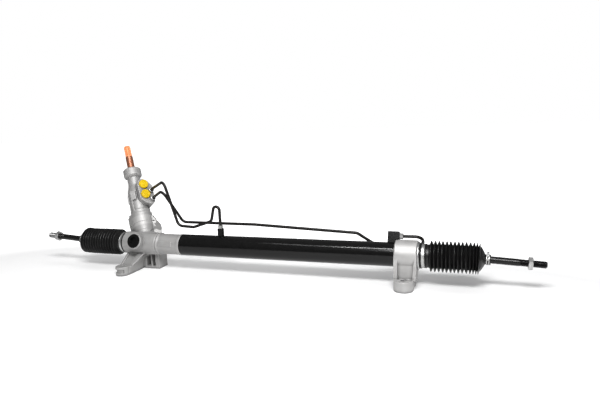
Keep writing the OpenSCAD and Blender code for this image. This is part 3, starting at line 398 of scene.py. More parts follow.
class Paint(Graph):
    """Builds one node-based material on a Principled shader."""

    def __init__(self, name, **sockets):
        self.material = bpy.data.materials.new(name)
        self.material.use_nodes = True
        super().__init__(self.material.node_tree)
        self.shader = self.tree.nodes["Principled BSDF"]
        for key, value in sockets.items():
            self.shader.inputs[key.replace("_", " ")].default_value = value
        self.place = self.add("ShaderNodeTexCoord").outputs["Object"]

    def noise(self, scale, detail=3.0, stretch=None):
        node = self.add("ShaderNodeTexNoise", Scale=scale, Detail=detail)
        if stretch:
            mapping = self.add("ShaderNodeMapping", Scale=stretch)
            self.link(self.place, mapping.inputs["Vector"])
            self.link(mapping.outputs["Vector"], node.inputs["Vector"])
        else:
            self.link(self.place, node.inputs["Vector"])
        return node.outputs["Fac"]

    def colours(self, source, stops):
        """Base colour from a value, through a ramp of (place, colour) stops."""
        self.link(self.ramp(source, stops), self.shader.inputs["Base Color"])

    def shade(self, amount):
        """Multiplies the base colour by a value."""
        base = self.shader.inputs["Base Color"]
        self.link(self.mix(base.links[0].from_socket, amount, 1, "MULTIPLY"), base)

    def painted_corner_shade(self, reach, dark):
        """Painted shade: darkens the base colour in corners, within a reach in millimetres."""
        corner = self.add("ShaderNodeAmbientOcclusion", Distance=reach * MM)
        corner.samples = 8
        self.shade(self.span(corner.outputs["AO"], dark, 1, 0.25, 0.95))

    def edges(self, hollow, edge):
        """Painted shade in the hollow bends of a dense mesh and a painted highlight on its edges."""
        bend = self.add("ShaderNodeNewGeometry").outputs["Pointiness"]
        self.shade(self.span(bend, hollow, edge, 0.42, 0.58))

    def roughness(self, source, low, high):
        self.link(self.span(source, low, high), self.shader.inputs["Roughness"])

    def bumps(self, *layers):
        """Bump from (value, depth in millimetres) layers, one over the other."""
        normal = None
        for source, depth in layers:
            bump = self.add("ShaderNodeBump", Strength=1.0, Distance=depth * MM)
            self.link(source, bump.inputs["Height"])
            if normal:
                self.link(normal, bump.inputs["Normal"])
            normal = bump.outputs["Normal"]
        self.link(normal, self.shader.inputs["Normal"])


def grey(value, warm=0.0):
    return (value * (1 + warm), value, value * (1 - warm))


def cast_metal(name, tone, rough):
    """Blasted die-cast aluminium: a fine grain with faint clouds, painted shade in its corners and
    hollow bends, and a painted highlight on its edges.
    """
    paint = Paint(name, Metallic=0.4)
    clouds = paint.noise(38, 4)
    grain = paint.noise(1500, 2)
    low, high = grey(tone * 0.88, 0.014), grey(tone * 1.06, 0.01)
    paint.colours(clouds, [(0.3, low), (0.7, high)])
    paint.painted_corner_shade(8, 0.22)
    paint.edges(0.4, 1.3)
    paint.roughness(paint.noise(160, 3), rough - 0.07, rough + 0.1)
    paint.bumps((grain, 0.05), (paint.noise(260, 3), 0.08))
    return paint.material


def machined(name, tone, rough=0.28):
    """Machined metal with fine tool marks."""
    paint = Paint(name, Metallic=0.92)
    marks = paint.noise(900, 2, (1, 0.15, 1))
    paint.colours(paint.noise(120, 3), [(0.3, grey(tone * 0.9)), (0.7, grey(tone * 1.05))])
    paint.roughness(marks, rough - 0.06, rough + 0.08)
    paint.bumps((marks, 0.015))
    return paint.material


def zinc_plate():
    """Dull plated steel with faint yellow and blue tints."""
    paint = Paint("zinc_plate", Metallic=1.0)
    tint = paint.noise(70, 3)
    stops = [(0.3, (0.4, 0.4, 0.385)), (0.55, grey(0.5)), (0.75, (0.44, 0.455, 0.46))]
    paint.colours(tint, stops)
    paint.roughness(paint.noise(420, 3), 0.36, 0.5)
    paint.bumps((paint.noise(1300, 2), 0.012))
    return paint.material


def gloss_paint(name, tone, rough, warm=0.0, ior=1.32):
    """Thick gloss paint with a faint orange peel."""
    paint = Paint(name, IOR=ior)
    low, high = grey(tone * 0.8, warm), grey(tone * 1.2, warm)
    paint.colours(paint.noise(90, 3), [(0.3, low), (0.7, high)])
    paint.roughness(paint.noise(300, 3), rough - 0.04, rough + 0.06)
    paint.bumps((paint.noise(420, 2), 0.01))
    return paint.material


def rubber():
    """Black rubber of the boots, with a dull shine."""
    paint = Paint("boot_rubber", IOR=1.38)
    paint.colours(paint.noise(110, 4), [(0.3, grey(0.005)), (0.7, grey(0.009))])
    paint.roughness(paint.noise(240, 3), 0.3, 0.42)
    paint.bumps((paint.noise(900, 3), 0.04))
    return paint.material


def copper_coat(name, light, dark, rough, metallic):
    """Copper-coloured protective coat on steel."""
    paint = Paint(name, Metallic=metallic, Coat_Weight=0.08, Coat_Roughness=0.2)
    paint.colours(paint.noise(130, 4), [(0.32, dark), (0.68, light)])
    paint.roughness(paint.noise(500, 3), rough - 0.06, rough + 0.08)
    paint.bumps((paint.noise(800, 2), 0.015))
    return paint.material


def yellow_plastic():
    """Soft plastic of the shipping caps."""
    paint = Paint("yellow_cap", IOR=1.35)
    paint.colours(paint.noise(80, 3), [(0.3, (0.62, 0.42, 0.002)), (0.7, (0.69, 0.47, 0.003))])
    paint.roughness(paint.noise(300, 3), 0.3, 0.42)
    paint.bumps((paint.noise(700, 2), 0.02))
    return paint.material


def moulded(name, tone, warm, rough):
    """Moulded rubber or nylon of the inner pieces."""
    paint = Paint(name)
    low, high = grey(tone * 0.92, warm), grey(tone * 1.03, warm)
    paint.colours(paint.noise(90, 3), [(0.3, low), (0.7, high)])
    paint.roughness(paint.noise(260, 3), rough - 0.06, rough + 0.06)
    paint.bumps((paint.noise(600, 2), 0.02))
    return paint.material


COPPER = ((0.84, 0.33, 0.14), (0.78, 0.28, 0.11))
COPPER_DARK = ((0.36, 0.14, 0.075), (0.27, 0.095, 0.05))
LOOK = {
    "cast": cast_metal("cast_aluminium", 0.4, 0.56),
    "cast_bracket": cast_metal("cast_aluminium_bracket", 0.46, 0.5),
    # A darker copy of the cast finish: painted shade on the fin faces that turn to the key lamp
    "cast_painted_shade": cast_metal("cast_aluminium_painted_shade", 0.22, 0.7),
    # A lighter copy of the cast finish: painted light on the tower's flange and the housing's boss
    # below it
    "cast_painted_light": cast_metal("cast_aluminium_painted_light", 0.5, 0.58),
    "machined": machined("machined_aluminium", 0.66),
    "steel": machined("bearing_steel", 0.5, 0.24),
    "thread": machined("thread_steel", 0.2, 0.36),
    "zinc": zinc_plate(),
    "tube": gloss_paint("tube_paint", 0.004, 0.14),
    "block": gloss_paint("port_paint", 0.004, 0.26, ior=1.24),
    "pipe": gloss_paint("pipe_coat", 0.009, 0.36, 0.1, ior=1.28),
    "rod": gloss_paint("rod_coat", 0.005, 0.26),
    "rubber": rubber(),
    "copper": copper_coat("shaft_copper", *COPPER, 0.5, 0.2),
    "copper_dark": copper_coat("shaft_copper_dark", *COPPER_DARK, 0.42, 0.6),
    "yellow": yellow_plastic(),
    "nylon": moulded("nylon", 0.72, 0.04, 0.42),
    "soft": moulded("seal_rubber", 0.02, 0.0, 0.5),
}
SLOT_LOOK = {
    "cast_aluminium": "cast", "bearing_steel": "steel", "zinc_plate": "zinc",
    "black_paint": "tube", "black_rod": "rod", "copper_steel": "copper",
    "black_rubber": "soft", "nylon": "nylon", "yellow_plastic": "yellow",
}


def wear(obj, look, body):
    """Gives a piece its finish and the body it rides on."""
    obj.data.materials.clear()
    obj.data.materials.append(LOOK[look])
    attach(obj, body)


def second_look(obj, look, chosen):
    """A second finish for the faces that a test of their centre and normal picks."""
    obj.data.materials.append(LOOK[look])
    index = len(obj.data.materials) - 1
    for polygon in obj.data.polygons:
        if chosen(polygon.center / MM - AXIS_POINT, polygon.normal):
            polygon.material_index = index


def finish_nodes():
    """The CAD nodes keep their own shape and get the finish of their slot."""
    for part in frame["record"]["subparts"]:
        obj = nodes[part["node"]]
        obj.data.materials.clear()
        obj.data.materials.append(LOOK[SLOT_LOOK[part["material_slot"]]])
        smooth(obj)


# Castings. Ranges named _S lie along the tower's axis, those named _X along the rack's
FLANGE_S = (50, 68)
BOSS_S = (44, 56)
BOSS_END_X = -600
# Fin faces that turn towards the key lamp; they get painted shade
FIN_X = -625
FIN_Z = 26
FIN_FACING = Vector((0.52, -0.74, 0.42))
FIN_TURN = 0.55
TO_TOWER = PINION.inverted()
BOLT_RIM = [(1, 6.9), (18.6, 6.9), (19.5, 7.9), (19.55, 8.9), (19.2, 9.2), (1, 9.2)]


def along_tower(centre, span):
    """Whether a place lies between two others along the tower's axis."""
    return span[0] < (TO_TOWER @ centre).z < span[1]


def on_boss(centre, normal):
    return along_tower(centre, BOSS_S) and centre.x < BOSS_END_X


def on_fin(centre, normal):
    return centre.z > FIN_Z and centre.x > FIN_X and normal.dot(FIN_FACING) > FIN_TURN


def on_flange(centre, normal):
    return along_tower(centre, FLANGE_S)


def housing():
    obj = cast_form("housing_casting", "rack_housing", 0.75, 2)
    wear(obj, "cast", "housing")
    # Painted light: the boss under the flange gets a lighter copy of the cast finish
    second_look(obj, "cast_painted_light", on_boss)
    # Painted shade: the fin faces that turn to the key lamp get a darker copy of the cast finish
    second_look(obj, "cast_painted_shade", on_fin)


def tower():
    obj = cast_form("valve_tower", "valve_housing", 0.65, 2)
    wear(obj, "cast", "housing")
    # Painted light: the flange gets a lighter copy of the cast finish
    second_look(obj, "cast_painted_light", on_flange)


def bracket():
    obj = cast_form("bracket_casting", "right_bracket", 0.6, 2)
    wear(obj, "cast_bracket", "housing")
    upright = shift(*-AXIS_POINT) @ X_TO_Z
    rim = turned("bolt_hole_rim", BOLT_RIM, upright, closed=True)
    wear(rim, "machined", "housing")


# Cylinder
def cylinder():
    x0, x1 = TUBE_X
    bore = TUBE_R - TUBE_WALL
    profile = [(x0, bore), (x0, TUBE_R), (x1, TUBE_R), (x1, bore)]
    tube = turned("tube", rounded(profile, 1.2), closed=True, sides=160)
    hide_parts("cylinder_tube")
    wear(tube, "tube", "housing")
    for name in ("left_cylinder_port", "right_cylinder_port"):
        wear(cast_form(name + "_block", name, 0.4, 3), "block", "housing")


def retainer():
    """Crimped end ring: a rolled edge over the tube and the seat of the boot."""
    x0, x1 = RETAINER_X
    seat = 21.4
    bore = 20
    rim = TUBE_R + 2.8
    end = RIGHT_END + 8
    profile = [
        (23.8, bore), (23.8, 22), (27, 22), (27, TUBE_R), (x0, TUBE_R), (x0, rim - 0.6),
        (x0 + 0.6, rim), (x1 - 2.2, rim), (x1 - 0.9, rim - 1.1), (x1 - 0.4, rim - 2.6),
        (x1 - 0.4, seat + 0.4), (x1, seat), (end - 1, seat), (end, seat - 0.8), (end, bore),
    ]
    end_ring = turned("end_ring", rounded(profile, 0.7), closed=True, sides=128)
    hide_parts("end_retainer")
    wear(end_ring, "zinc", "housing")


# Pipes. Each has a start and an end in its nuts, and a bend at every corner between
PIPE_R = 3.4
PIPE_BEND = 14
PORT_BEND = 8.4
WIDE_BEND = 60
PIPE_DEPTH = 7
PIPE_LEAD = 16
VALVE_NUTS = {"left": 126, "right": 104}
NUT_Q = 22.3
LEFT_PORT = (-423.5, 4, 41.5)
RIGHT_PORT_DIR = 23
RIGHT_PORT = (-25.5, 23.5, 38.5)
FLARE_NUT = (11, 7.5)
LEFT_CORNERS = [(-566, 2, 151.5), (-541, 14, 42.5), (-498, 11, 41), (-449, 9, 57), (-439, 6, 92)]
RIGHT_CORNERS = [
    (-577, 10, 127.5), (-541, 36, 47), (-350, 30, 47.5), (-108, 31, 35.5), (-74, 38, 12),
    (32, 40, 12),
]
LEFT_BENDS = [PIPE_BEND] * 5 + [PORT_BEND] * 2
RIGHT_BENDS = [PIPE_BEND] * 3 + [WIDE_BEND] + [PIPE_BEND] * 4


def pipe_start(side):
    """The pipe's first two points: inside its nut on the tower, and out along the nut's axis."""
    depths = (PORT_FACE - PIPE_DEPTH, PORT_FACE + PIPE_LEAD)
    return [port_frame(VALVE_NUTS[side], NUT_Q, d).translation for d in depths]


def pipe(side, corners, bends):
    line = bent(pipe_start(side) + corners, [0] + bends + [0])
    obj = swept(side + "_pipe", line, PIPE_R)
    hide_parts(side + "_feed_pipe")
    wear(obj, "pipe", "housing")


def pipe_nuts(name, node, places):
    parts = []
    for i, place in enumerate(places):
        parts.append(hexagon_nut(f"{name}_{i}", *FLARE_NUT, PIPE_R, place, 0.8))
    nut = join(name, parts)
    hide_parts(node)
    wear(nut, "zinc", "housing")


def pipes():
    x, y, z = LEFT_PORT
    pipe("left", LEFT_CORNERS + [(x, y, LEFT_CORNERS[-1][2]), (x, y, z - PIPE_DEPTH)], LEFT_BENDS)
    px, width, high = RIGHT_PORT
    face = px + width / 2
    lean = math.radians(RIGHT_PORT_DIR)
    ny, nz = high * math.sin(lean), high * math.cos(lean)
    end = [(RIGHT_CORNERS[-1][0], ny, nz), (face - PIPE_DEPTH, ny, nz)]
    pipe("right", RIGHT_CORNERS + end, RIGHT_BENDS)
    at_valve = [port_frame(s, NUT_Q, PORT_FACE) @ X_TO_Z for s in VALVE_NUTS.values()]
    pipe_nuts("valve_nuts", "valve_pipe_nuts", at_valve)
    at_cylinder = [shift(x, y, z) @ X_TO_Z, shift(face, ny, nz)]
    pipe_nuts("cylinder_nuts", "cylinder_pipe_nuts", at_cylinder)


# Port caps
CAPS = {"return_cap": 144, "pressure_cap": 117.5}
CAP_Q = 6.3
CAP_R = 11.2
CAP_H = 6


def caps():
    """Shipping caps: a rim round a shallow dish with a raised middle."""
    for name, s in CAPS.items():
        profile = [
            (-9, 6), (-9, 8), (0, 8), (0, CAP_R - 0.4), (0.6, CAP_R), (CAP_H - 1.4, CAP_R),
            (CAP_H, CAP_R - 1.3), (CAP_H, CAP_R - 2.8), (CAP_H - 0.9, CAP_R - 3.6),
            (CAP_H - 0.9, CAP_R - 5), (CAP_H - 0.1, CAP_R - 6), (CAP_H - 0.1, 0), (-3, 0), (-3, 6),
        ]
        place = port_frame(s, CAP_Q, PORT_FACE) @ X_TO_Z
        line = rounded(profile, 0.5)
        cap = turned(name + "_moulding", line, place, closed=True, sides=72)
        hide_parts(name)
        wear(cap, "yellow", "housing")


# Input shaft
SHAFT_R = 9
SPLINE_R = 8.25
SPLINES = 36
SPLINE_DEPTH = 0.75
SHAFT_S = (138, 238, 268)


def input_shaft():
    low, step, tip = SHAFT_S
    collar = [low, step - 1.2, step - 1.0, step - 0.6, step - 0.2, step]

    def plain(x, a):
        return SHAFT_R - 0.7 * max(0, (x - step + 1.2) / 1.2)

    def splined(x, a):
        tooth = abs((a * SPLINES / (2 * math.pi)) % 1 - 0.5) * 2
        depth = SPLINE_DEPTH * min(1, max(0, 1.6 - 2.2 * tooth))
        start = min(1, max(0, (x - step - 1.5) / 1.5))
        end = max(0, (x - tip + 2.6) / 2.6)
        return SPLINE_R - depth * start - 1.8 * end * end

    place = PINION @ X_TO_Z
    stem = shaped("shaft_stem", collar, plain, place, 96, 30)
    xs = [step - 0.4, step + 1.5, step + 2, step + 2.5, step + 3, tip - 6]
    xs += [tip - 2.6 + 0.52 * k for k in range(6)]
    head = shaped("shaft_spline", xs, splined, place, 288, 38)
    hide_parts("input_shaft")
    wear(stem, "copper_dark", "input_shaft")
    wear(head, "copper", "input_shaft")


# Boots
FOLDS = 14
FOLD_R = 31.6
VALLEY_R = 23.8
FOLD_START = 8
CONE_L = 10
LIP_R = 26.4
CUFF_R = 23.3
SMALL_R = 9.25
WALL = 1.5
BEND_LEAD = 4
BEND_L = 22
SEEDS = {"left": 11, "right": 23}
FOLD_GROUPS = [(0, 1), (1, 2), (2, 4), (4, 10), (10, 12), (12, 13), (13, 14)]


def smoothstep(t):
    return t * t * (3 - 2 * t)


class Boot:
    """One folded boot. Places are measured from its big end, outwards."""

    def __init__(self, side):
        self.side = side
        self.sign = SIDE[side]
        self.length = BOOT_L - self.sign * RACK_SHIFT
        self.start = MID_X + self.sign * (HALF_SPAN + BAND_W)
        self.ball = self.length - BALL_IN
        widths = [1.0] * FOLDS
        if side == "right":
            widths[-4:] = [0.92, 0.8, 0.66, 0.56]
        span = self.length - CONE_L - FOLD_START
        starts = [sum(widths[:i]) / sum(widths) for i in range(FOLDS + 1)]
        self.edges = [FOLD_START + span * t for t in starts]
        draws = np.random.default_rng(SEEDS[side])
        self.uneven = draws.uniform(-1, 1, (FOLDS, 4))

    def spine(self, p, r, a):
        """The point at a place, radius and angle, on the axis that bends at the ball."""
        along = p - self.ball
        t = min(1, max(0, (along + BEND_LEAD) / BEND_L))
        angle = math.radians(TILT[self.side]) * smoothstep(t)
        x = along * math.cos(angle) - r * math.cos(a) * math.sin(angle)
        z = along * math.sin(angle) + r * math.cos(a) * math.cos(angle)
        return (self.start + self.sign * (self.ball + x), r * math.sin(a), z)

    def skin(self, name, profile, sides=96, wavy=None):
        """A shell turned along the bent axis from a closed profile."""
        points = []
        for p, r in profile:
            for k in range(sides):
                a = 2 * math.pi * k / sides
                dp, dr = wavy(p, a) if wavy else (0, 0)
                points.append(self.spine(p + dp, r + dr, a))
        obj = make(name, points, ring_faces(len(profile), sides), HERE, 60)
        obj.data.materials.append(LOOK["rubber"])
        return obj

    def wave(self, p, a):
        """Small unevenness of each fold, none at the valleys."""
        i = min(FOLDS - 1, sum(p >= edge for edge in self.edges[1:]))
        t = (p - self.edges[i]) / (self.edges[i + 1] - self.edges[i])
        shape = max(0, math.sin(math.pi * t)) ** 2 if 0 < t < 1 else 0
        u = self.uneven[i]
        lean = 0.45 * u[0] * math.cos(a) + 0.35 * u[1] * math.sin(a) + 0.25 * u[2]
        return lean * shape, 0.22 * u[3] * shape

    def fold_profile(self, first, last, wall):
        """Outer or inner line of a run of folds."""
        line = []
        steps = 14
        for i in range(first, last):
            for k in range(steps + (i == last - 1)):
                t = k / steps
                crest = (0.5 - 0.5 * math.cos(2 * math.pi * t)) ** 0.8
                r = VALLEY_R + crest * (FOLD_R - VALLEY_R)
                p = self.edges[i] + t * (self.edges[i + 1] - self.edges[i])
                line.append((p, r - wall))
        return line

    def fold_group(self, number, first, last):
        """A run of folds, and a collar on the first."""
        outer = self.fold_profile(first, last, 0)
        inner = self.fold_profile(first, last, WALL)[::-1]
        if first == 0:
            x0, x1 = FOLD_START - 3.4, FOLD_START - 0.4
            outer = [(x0, VALLEY_R - 1.0), (x1, VALLEY_R - 0.9)] + outer
            inner = inner + [(x1, VALLEY_R - 2.2), (x0, VALLEY_R - 2.2)]
        obj = self.skin(f"{self.side}_boot_folds_{number}", outer + inner, wavy=self.wave)
        self.blend(obj)

    def blend(self, obj):
        """Bakes the piece's transform into its mesh."""
        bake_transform(obj)

    def cuff(self):
        """The neck under the big clamp, and the lip against the housing."""
        lip = -BAND_W - 2.7
        profile = [
            (lip, CUFF_R - 1.6), (lip, LIP_R - 1), (lip + 0.8, LIP_R), (-BAND_W - 0.6, LIP_R),
            (-BAND_W, LIP_R - 1), (-BAND_W, CUFF_R), (0.4, CUFF_R), (0.7, LIP_R - 1.6),
            (2.3, LIP_R - 1.4), (3.2, VALLEY_R - 0.2), (FOLD_START - 0.2, VALLEY_R - 0.1),
            (FOLD_START - 0.2, VALLEY_R - 0.8), (0, CUFF_R - 1.6),
        ]
        obj = self.skin(self.side + "_boot_cuff", rounded(profile, 0.5, 3))
        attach(obj, "housing")
        return obj

    def tip(self):
        """The cone and the small end."""
        cone = self.length - CONE_L
        end = self.length
        middle = cone + 4.5
        slope = (SMALL_R + 2.4 - VALLEY_R) / (end - 1 - cone)
        middle_r = VALLEY_R + 1.3 + slope * (middle - cone)
        first = [
            (cone - 3, VALLEY_R - 2.3), (cone - 3, VALLEY_R - 0.9), (cone - 0.5, VALLEY_R - 0.9),
            (cone - 0.4, VALLEY_R + 0.4), (cone + 0.6, VALLEY_R + 0.5), (cone + 2.6, VALLEY_R - 1.9),
            (middle, middle_r), (middle, middle_r - WALL),
        ]
        bore = SMALL_R - 1.4
        second = [
            (middle, middle_r - WALL), (middle, middle_r), (middle + 2.4, middle_r - 4.2),
            (end - 1.4, SMALL_R + 2.2), (end, SMALL_R + 0.1), (end + 7.8, SMALL_R),
            (end + 8.2, SMALL_R + 1.3), (end + 9.4, SMALL_R + 1.3), (end + 9.6, bore),
            (end, bore), (end - 1.6, bore + 1),
        ]
        a = self.skin(self.side + "_boot_cone", first)
        self.blend(a)
        b = self.skin(self.side + "_boot_end", second)
        self.blend(b)

    def build(self):
        cuff = self.cuff()
        self.tip()
        for number, (first, last) in enumerate(FOLD_GROUPS, 1):
            self.fold_group(number, first, last)
        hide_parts(self.side + "_boot")


EAR_TURN = -140
EAR_HALF = 0.35
EAR_X = 0.8


def boot_band(side):
    """Large clamp: a strap with rolled edges and its crimped ear at the back."""
    sign = SIDE[side]
    r = CUFF_R + 0.3
    width = BAND_W - 0.6
    profile = [
        (0, r + 0.2), (0.5, r), (width - 0.5, r), (width, r + 0.2), (width, r + 0.9),
        (width - 0.5, r + 1.1), (width - 1.1, r + 0.8), (1.1, r + 0.8), (0.5, r + 1.1), (0, r + 0.9),
    ]
    start = MID_X + sign * (HALF_SPAN + 0.3)
    place = shift(start, 0, 0) @ (HERE if sign > 0 else turn(180, "Z"))
    strap = turned("strap", rounded(profile, 0.25, 2), place, closed=True, sides=128)
    ear = arch("ear", r + 0.5, 3.4, 9, width - 1.6, place @ turn(EAR_TURN * sign, "X"))
    band = join(side + "_band", [strap, ear])
    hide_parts(side + "_boot_band")
    wear(band, "zinc", "housing")


def arch(name, base, height, span, width, place):
    """A crimped ear: a strip that rises from a strap in a rounded arch, at +Z."""
    outer, inner = [], []
    steps = 16
    for k in range(steps + 1):
        t = k / steps
        y = (t - 0.5) * span
        rise = height * (math.sin(math.pi * t) ** 0.6 if 0 < t < 1 else 0)
        z = math.sqrt(max(0, base * base - y * y)) + rise
        outer.append((y, z + EAR_HALF))
        inner.append((y * 0.9, z - EAR_HALF))
    line = outer + inner[::-1]
    points = [(x, y, z) for x in (EAR_X, EAR_X + width) for y, z in line]
    n = len(line)
    faces = [tuple(range(n)), tuple(range(2 * n - 1, n - 1, -1))]
    faces += [(k, (k + 1) % n, n + (k + 1) % n, n + k) for k in range(n)]
    return make(name, points, faces, place)


HOOP_W = 1.8
BRIDGES = (30, 75, 180, 285, 330)


def boot_clip(side):
    """Small spring clamp: two hoops joined by bridges, with two raised ears on top."""
    r = SMALL_R + 0.3
    width = 6.4
    place = ball_frame(side) @ shift(BALL_IN + 0.8, 0, 0)
    parts = []
    for x in (0, width - HOOP_W):
        hoop = [(x, r), (x + HOOP_W, r), (x + HOOP_W, r + 1), (x, r + 1)]
        parts.append(turned("hoop", rounded(hoop, 0.3, 2), place, closed=True, sides=64))
    for angle in BRIDGES:
        at = place @ turn(angle, "X")
        parts.append(box("bridge", (1.2, -2.2, r + 0.1), (width - 1.2, 2.2, r + 0.85), at))
    for y, lean, low, high in ((-2.6, 9, -1.6, 0.5), (2.6, -9, -0.5, 1.6)):
        at = place @ shift(0, y, r) @ turn(lean, "X")
        parts.append(box("ear", (0.8, -0.5, 0), (width - 0.8, 0.5, 5.6), at))
        parts.append(box("lip", (0.8, low, 5), (width - 0.8, high, 5.8), at))
    clip = join(side + "_clip", parts)
    edge = clip.modifiers.new("edges", "BEVEL")
    edge.width = 0.12 * MM
    edge.segments = 2
    edge.limit_method = "ANGLE"
    bake(clip)
    soften(clip)
    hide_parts(side + "_boot_clip")
    wear(clip, "zinc", side + "_rod")


# Tie rods. Places are along the rod, from the ball's centre
THREAD_PITCH = 1.5
THREAD_DEPTH = 0.85
THREAD_L = 52
THREAD_START = ROD_TIP - THREAD_L
STEPS_PER_TURN = 6
BARE_X = 4
BALL_R = 12
NECK_R = 6.6


def shank_profile():
    """The rod from the middle of its ball to the start of its thread."""
    steps = 16
    neck = math.acos(NECK_R / BALL_R)
    profile = [(0, 0), (0, BALL_R)]
    for k in range(1, steps + 1):
        a = neck * k / steps
        profile.append((BALL_R * math.sin(a), BALL_R * math.cos(a)))
    shank = ROD_R + 0.35
    profile += [(18, NECK_R), (22, shank), (BALL_IN + 9, shank), (BALL_IN + 10, ROD_R)]
    return profile + [(THREAD_START, ROD_R), (THREAD_START, 0)]


def thread_radius(x, a):
    """The radius of the cut thread, which fades in at its start and tapers at the tip."""
    wave = abs(((x / THREAD_PITCH - a / (2 * math.pi)) % 1) - 0.5) * 2
    fade = min(1, max(0, (x - THREAD_START - 1) / 3))
    tip = max(0, (x - ROD_TIP + 2.2) / 2.2)
    return ROD_R - THREAD_DEPTH * wave * fade - 1.7 * tip


def tie_rod(side):
    body = side + "_rod"
    place = ball_frame(side)
    rod = turned(side + "_rod_shank", shank_profile(), place, sides=64, sharp=50)
    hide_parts(side + "_tie_rod")
    wear(rod, "rod", body)
    count = int(THREAD_L / THREAD_PITCH * STEPS_PER_TURN)
    xs = [THREAD_START + THREAD_L * k / count for k in range(count + 1)]
    tip = shaped(side + "_rod_thread", xs, thread_radius, place, 40, 80)
    wear(tip, "rod", body)
    at = place @ shift(ROD_TIP - NUT_BACK, 0, 0)
    if side == "left":
        bare = at.translation.x - BARE_X
        second_look(tip, "thread", lambda centre, normal: centre.x < bare)
    nut = hexagon_nut(side + "_nut", NUT_AF, NUT_L, ROD_R - 0.1, at)
    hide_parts(side + "_lock_nut")
    wear(nut, "zinc", body)


# Scene: camera, light and floor
CAMERA_AT = (0.1578, -1.0364, 0.3612)
CAMERA_TURNS = (19.656, 9.282, -2.527)
CAMERA_LENS = 32.035


def camera():
    """The photo's view, from a fitted pinhole camera."""
    yaw, pitch, roll = (math.radians(v) for v in CAMERA_TURNS)
    level = Vector((math.cos(yaw), math.sin(yaw), 0))
    flat = math.cos(pitch)
    ahead = Vector((-math.sin(yaw) * flat, math.cos(yaw) * flat, -math.sin(pitch)))
    upright = level.cross(ahead)
    right = level * math.cos(roll) + upright * math.sin(roll)
    up = upright * math.cos(roll) - level * math.sin(roll)
    data = bpy.data.cameras.new("camera")
    data.lens = CAMERA_LENS
    data.sensor_width = 36
    data.clip_start = 0.01
    obj = new_object("camera", data)
    rows = [(*axes, at) for *axes, at in zip(right, up, -ahead, CAMERA_AT)]
    obj.matrix_world = Matrix(rows + [(0, 0, 0, 1)])
    bpy.context.scene.camera = obj


def lamp(name, at, target, size, power):
    """A rectangular lamp that faces its target."""
    data = bpy.data.lights.new(name, "AREA")
    data.shape = "RECTANGLE"
    data.size, data.size_y = size
    data.energy = power
    obj = new_object(name, data)
    obj.location = at
    obj.rotation_euler = (Vector(target) - Vector(at)).to_track_quat("-Z", "Y").to_euler()
    return obj


def lights():
    middle = (-0.3, 0, 0.05)
    lamp("key", (0.1, -0.98, 1.2), (-0.25, 0, 0.05), (0.75, 0.34), 29)
    lamp("strip", (-0.2, -0.57, 1.43), middle, (0.7, 0.08), 11).visible_diffuse = False
    lamp("strip_end", (-0.73, -0.57, 1.43), middle, (0.36, 0.08), 0.9).visible_diffuse = False
    lamp("top", (-0.3, 0.25, 1.8), middle, (2.2, 0.8), 6).visible_glossy = False


def world():
    """White for the camera, a dim room for gloss, and else a soft light from the right."""
    shown = bpy.data.worlds.new("studio")
    bpy.context.scene.world = shown
    shown.use_nodes = True
    graph = Graph(shown.node_tree)
    rays = graph.add("ShaderNodeLightPath").outputs
    split = graph.add("ShaderNodeSeparateXYZ")
    where = graph.add("ShaderNodeTexCoord").outputs["Generated"]
    graph.link(where, split.inputs["Vector"])
    upward = graph.ramp(split.outputs["Z"], [(0.02, grey(0.14)), (0.6, grey(0.24))])
    across = graph.span(split.outputs["X"], 0, 1, -1)
    sideways = graph.ramp(across, [(0, (0.09, 0.09, 0.092)), (0.8, (0.4, 0.4, 0.404))])
    room = graph.mix(sideways, upward, rays["Is Glossy Ray"])
    clear = graph.maths("MAXIMUM", rays["Is Camera Ray"], rays["Is Transmission Ray"])
    seen = graph.mix(room, (1, 1, 1, 1), clear)
    graph.link(seen, graph.tree.nodes["Background"].inputs["Color"])


FLOOR_REACH = 9
FLOOR_Z = -0.0004
FLOOR_TONE = 0.86
GLOW = (0.21, 0.03)
GLOW_X = (-0.3, 0.1)
FAR = (0.75, 1.4)
FLOOR_SHINE = 0.24


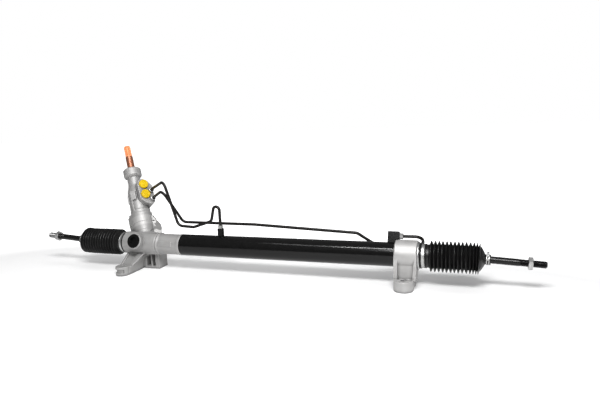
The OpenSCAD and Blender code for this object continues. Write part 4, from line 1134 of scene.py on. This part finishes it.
def floor_glow(graph):
    """The floor's own light: the camera sees it turn white far away, and gloss sees it nearby."""
    rays = graph.add("ShaderNodeLightPath").outputs
    place = graph.add("ShaderNodeTexCoord").outputs["Object"]
    split = graph.add("ShaderNodeSeparateXYZ")
    graph.link(place, split.inputs["Vector"])
    near = graph.span(split.outputs["X"], *GLOW, *GLOW_X)
    mapping = graph.add("ShaderNodeMapping", Location=(0.3, 0, 0), Scale=(1.1, 3.2, 0))
    graph.link(place, mapping.inputs["Vector"])
    distance = graph.add("ShaderNodeVectorMath")
    distance.operation = "LENGTH"
    graph.link(mapping.outputs["Vector"], distance.inputs[0])
    away = graph.span(distance.outputs["Value"], 0, 1, *FAR, "SMOOTHSTEP")
    seen = graph.maths("MULTIPLY", graph.maths("MAXIMUM", near, away), rays["Is Camera Ray"])
    shine = graph.span(away, FLOOR_SHINE, 0)
    return graph.maths("MULTIPLY_ADD", shine, rays["Is Glossy Ray"], seen)


def floor():
    """Pale floor that shows white where it is lit and keeps the shadow."""
    mesh = bpy.data.meshes.new("floor")
    reach = FLOOR_REACH
    corners = [(-reach, -reach, 0), (reach, -reach, 0), (reach, reach, 0), (-reach, reach, 0)]
    mesh.from_pydata(corners, [], [(0, 1, 2, 3)])
    obj = new_object("floor", mesh)
    obj.location.z = FLOOR_Z
    material = bpy.data.materials.new("floor")
    material.use_nodes = True
    graph = Graph(material.node_tree)
    graph.tree.nodes.clear()
    out = graph.add("ShaderNodeOutputMaterial")
    matt = graph.add("ShaderNodeBsdfDiffuse", Color=(*grey(FLOOR_TONE), 1))
    glow = graph.add("ShaderNodeEmission")
    graph.link(floor_glow(graph), glow.inputs["Strength"])
    total = graph.add("ShaderNodeAddShader")
    graph.link(matt.outputs["BSDF"], total.inputs[0])
    graph.link(glow.outputs["Emission"], total.inputs[1])
    graph.link(total.outputs["Shader"], out.inputs["Surface"])
    mesh.materials.append(material)


finish_nodes()
housing()
tower()
bracket()
cylinder()
retainer()
pipes()
caps()
input_shaft()
for hand in SIDE:
    Boot(hand).build()
    boot_band(hand)
    boot_clip(hand)
    tie_rod(hand)
camera()
lights()
world()
floor()
bpy.context.scene.view_settings.view_transform = "Standard"
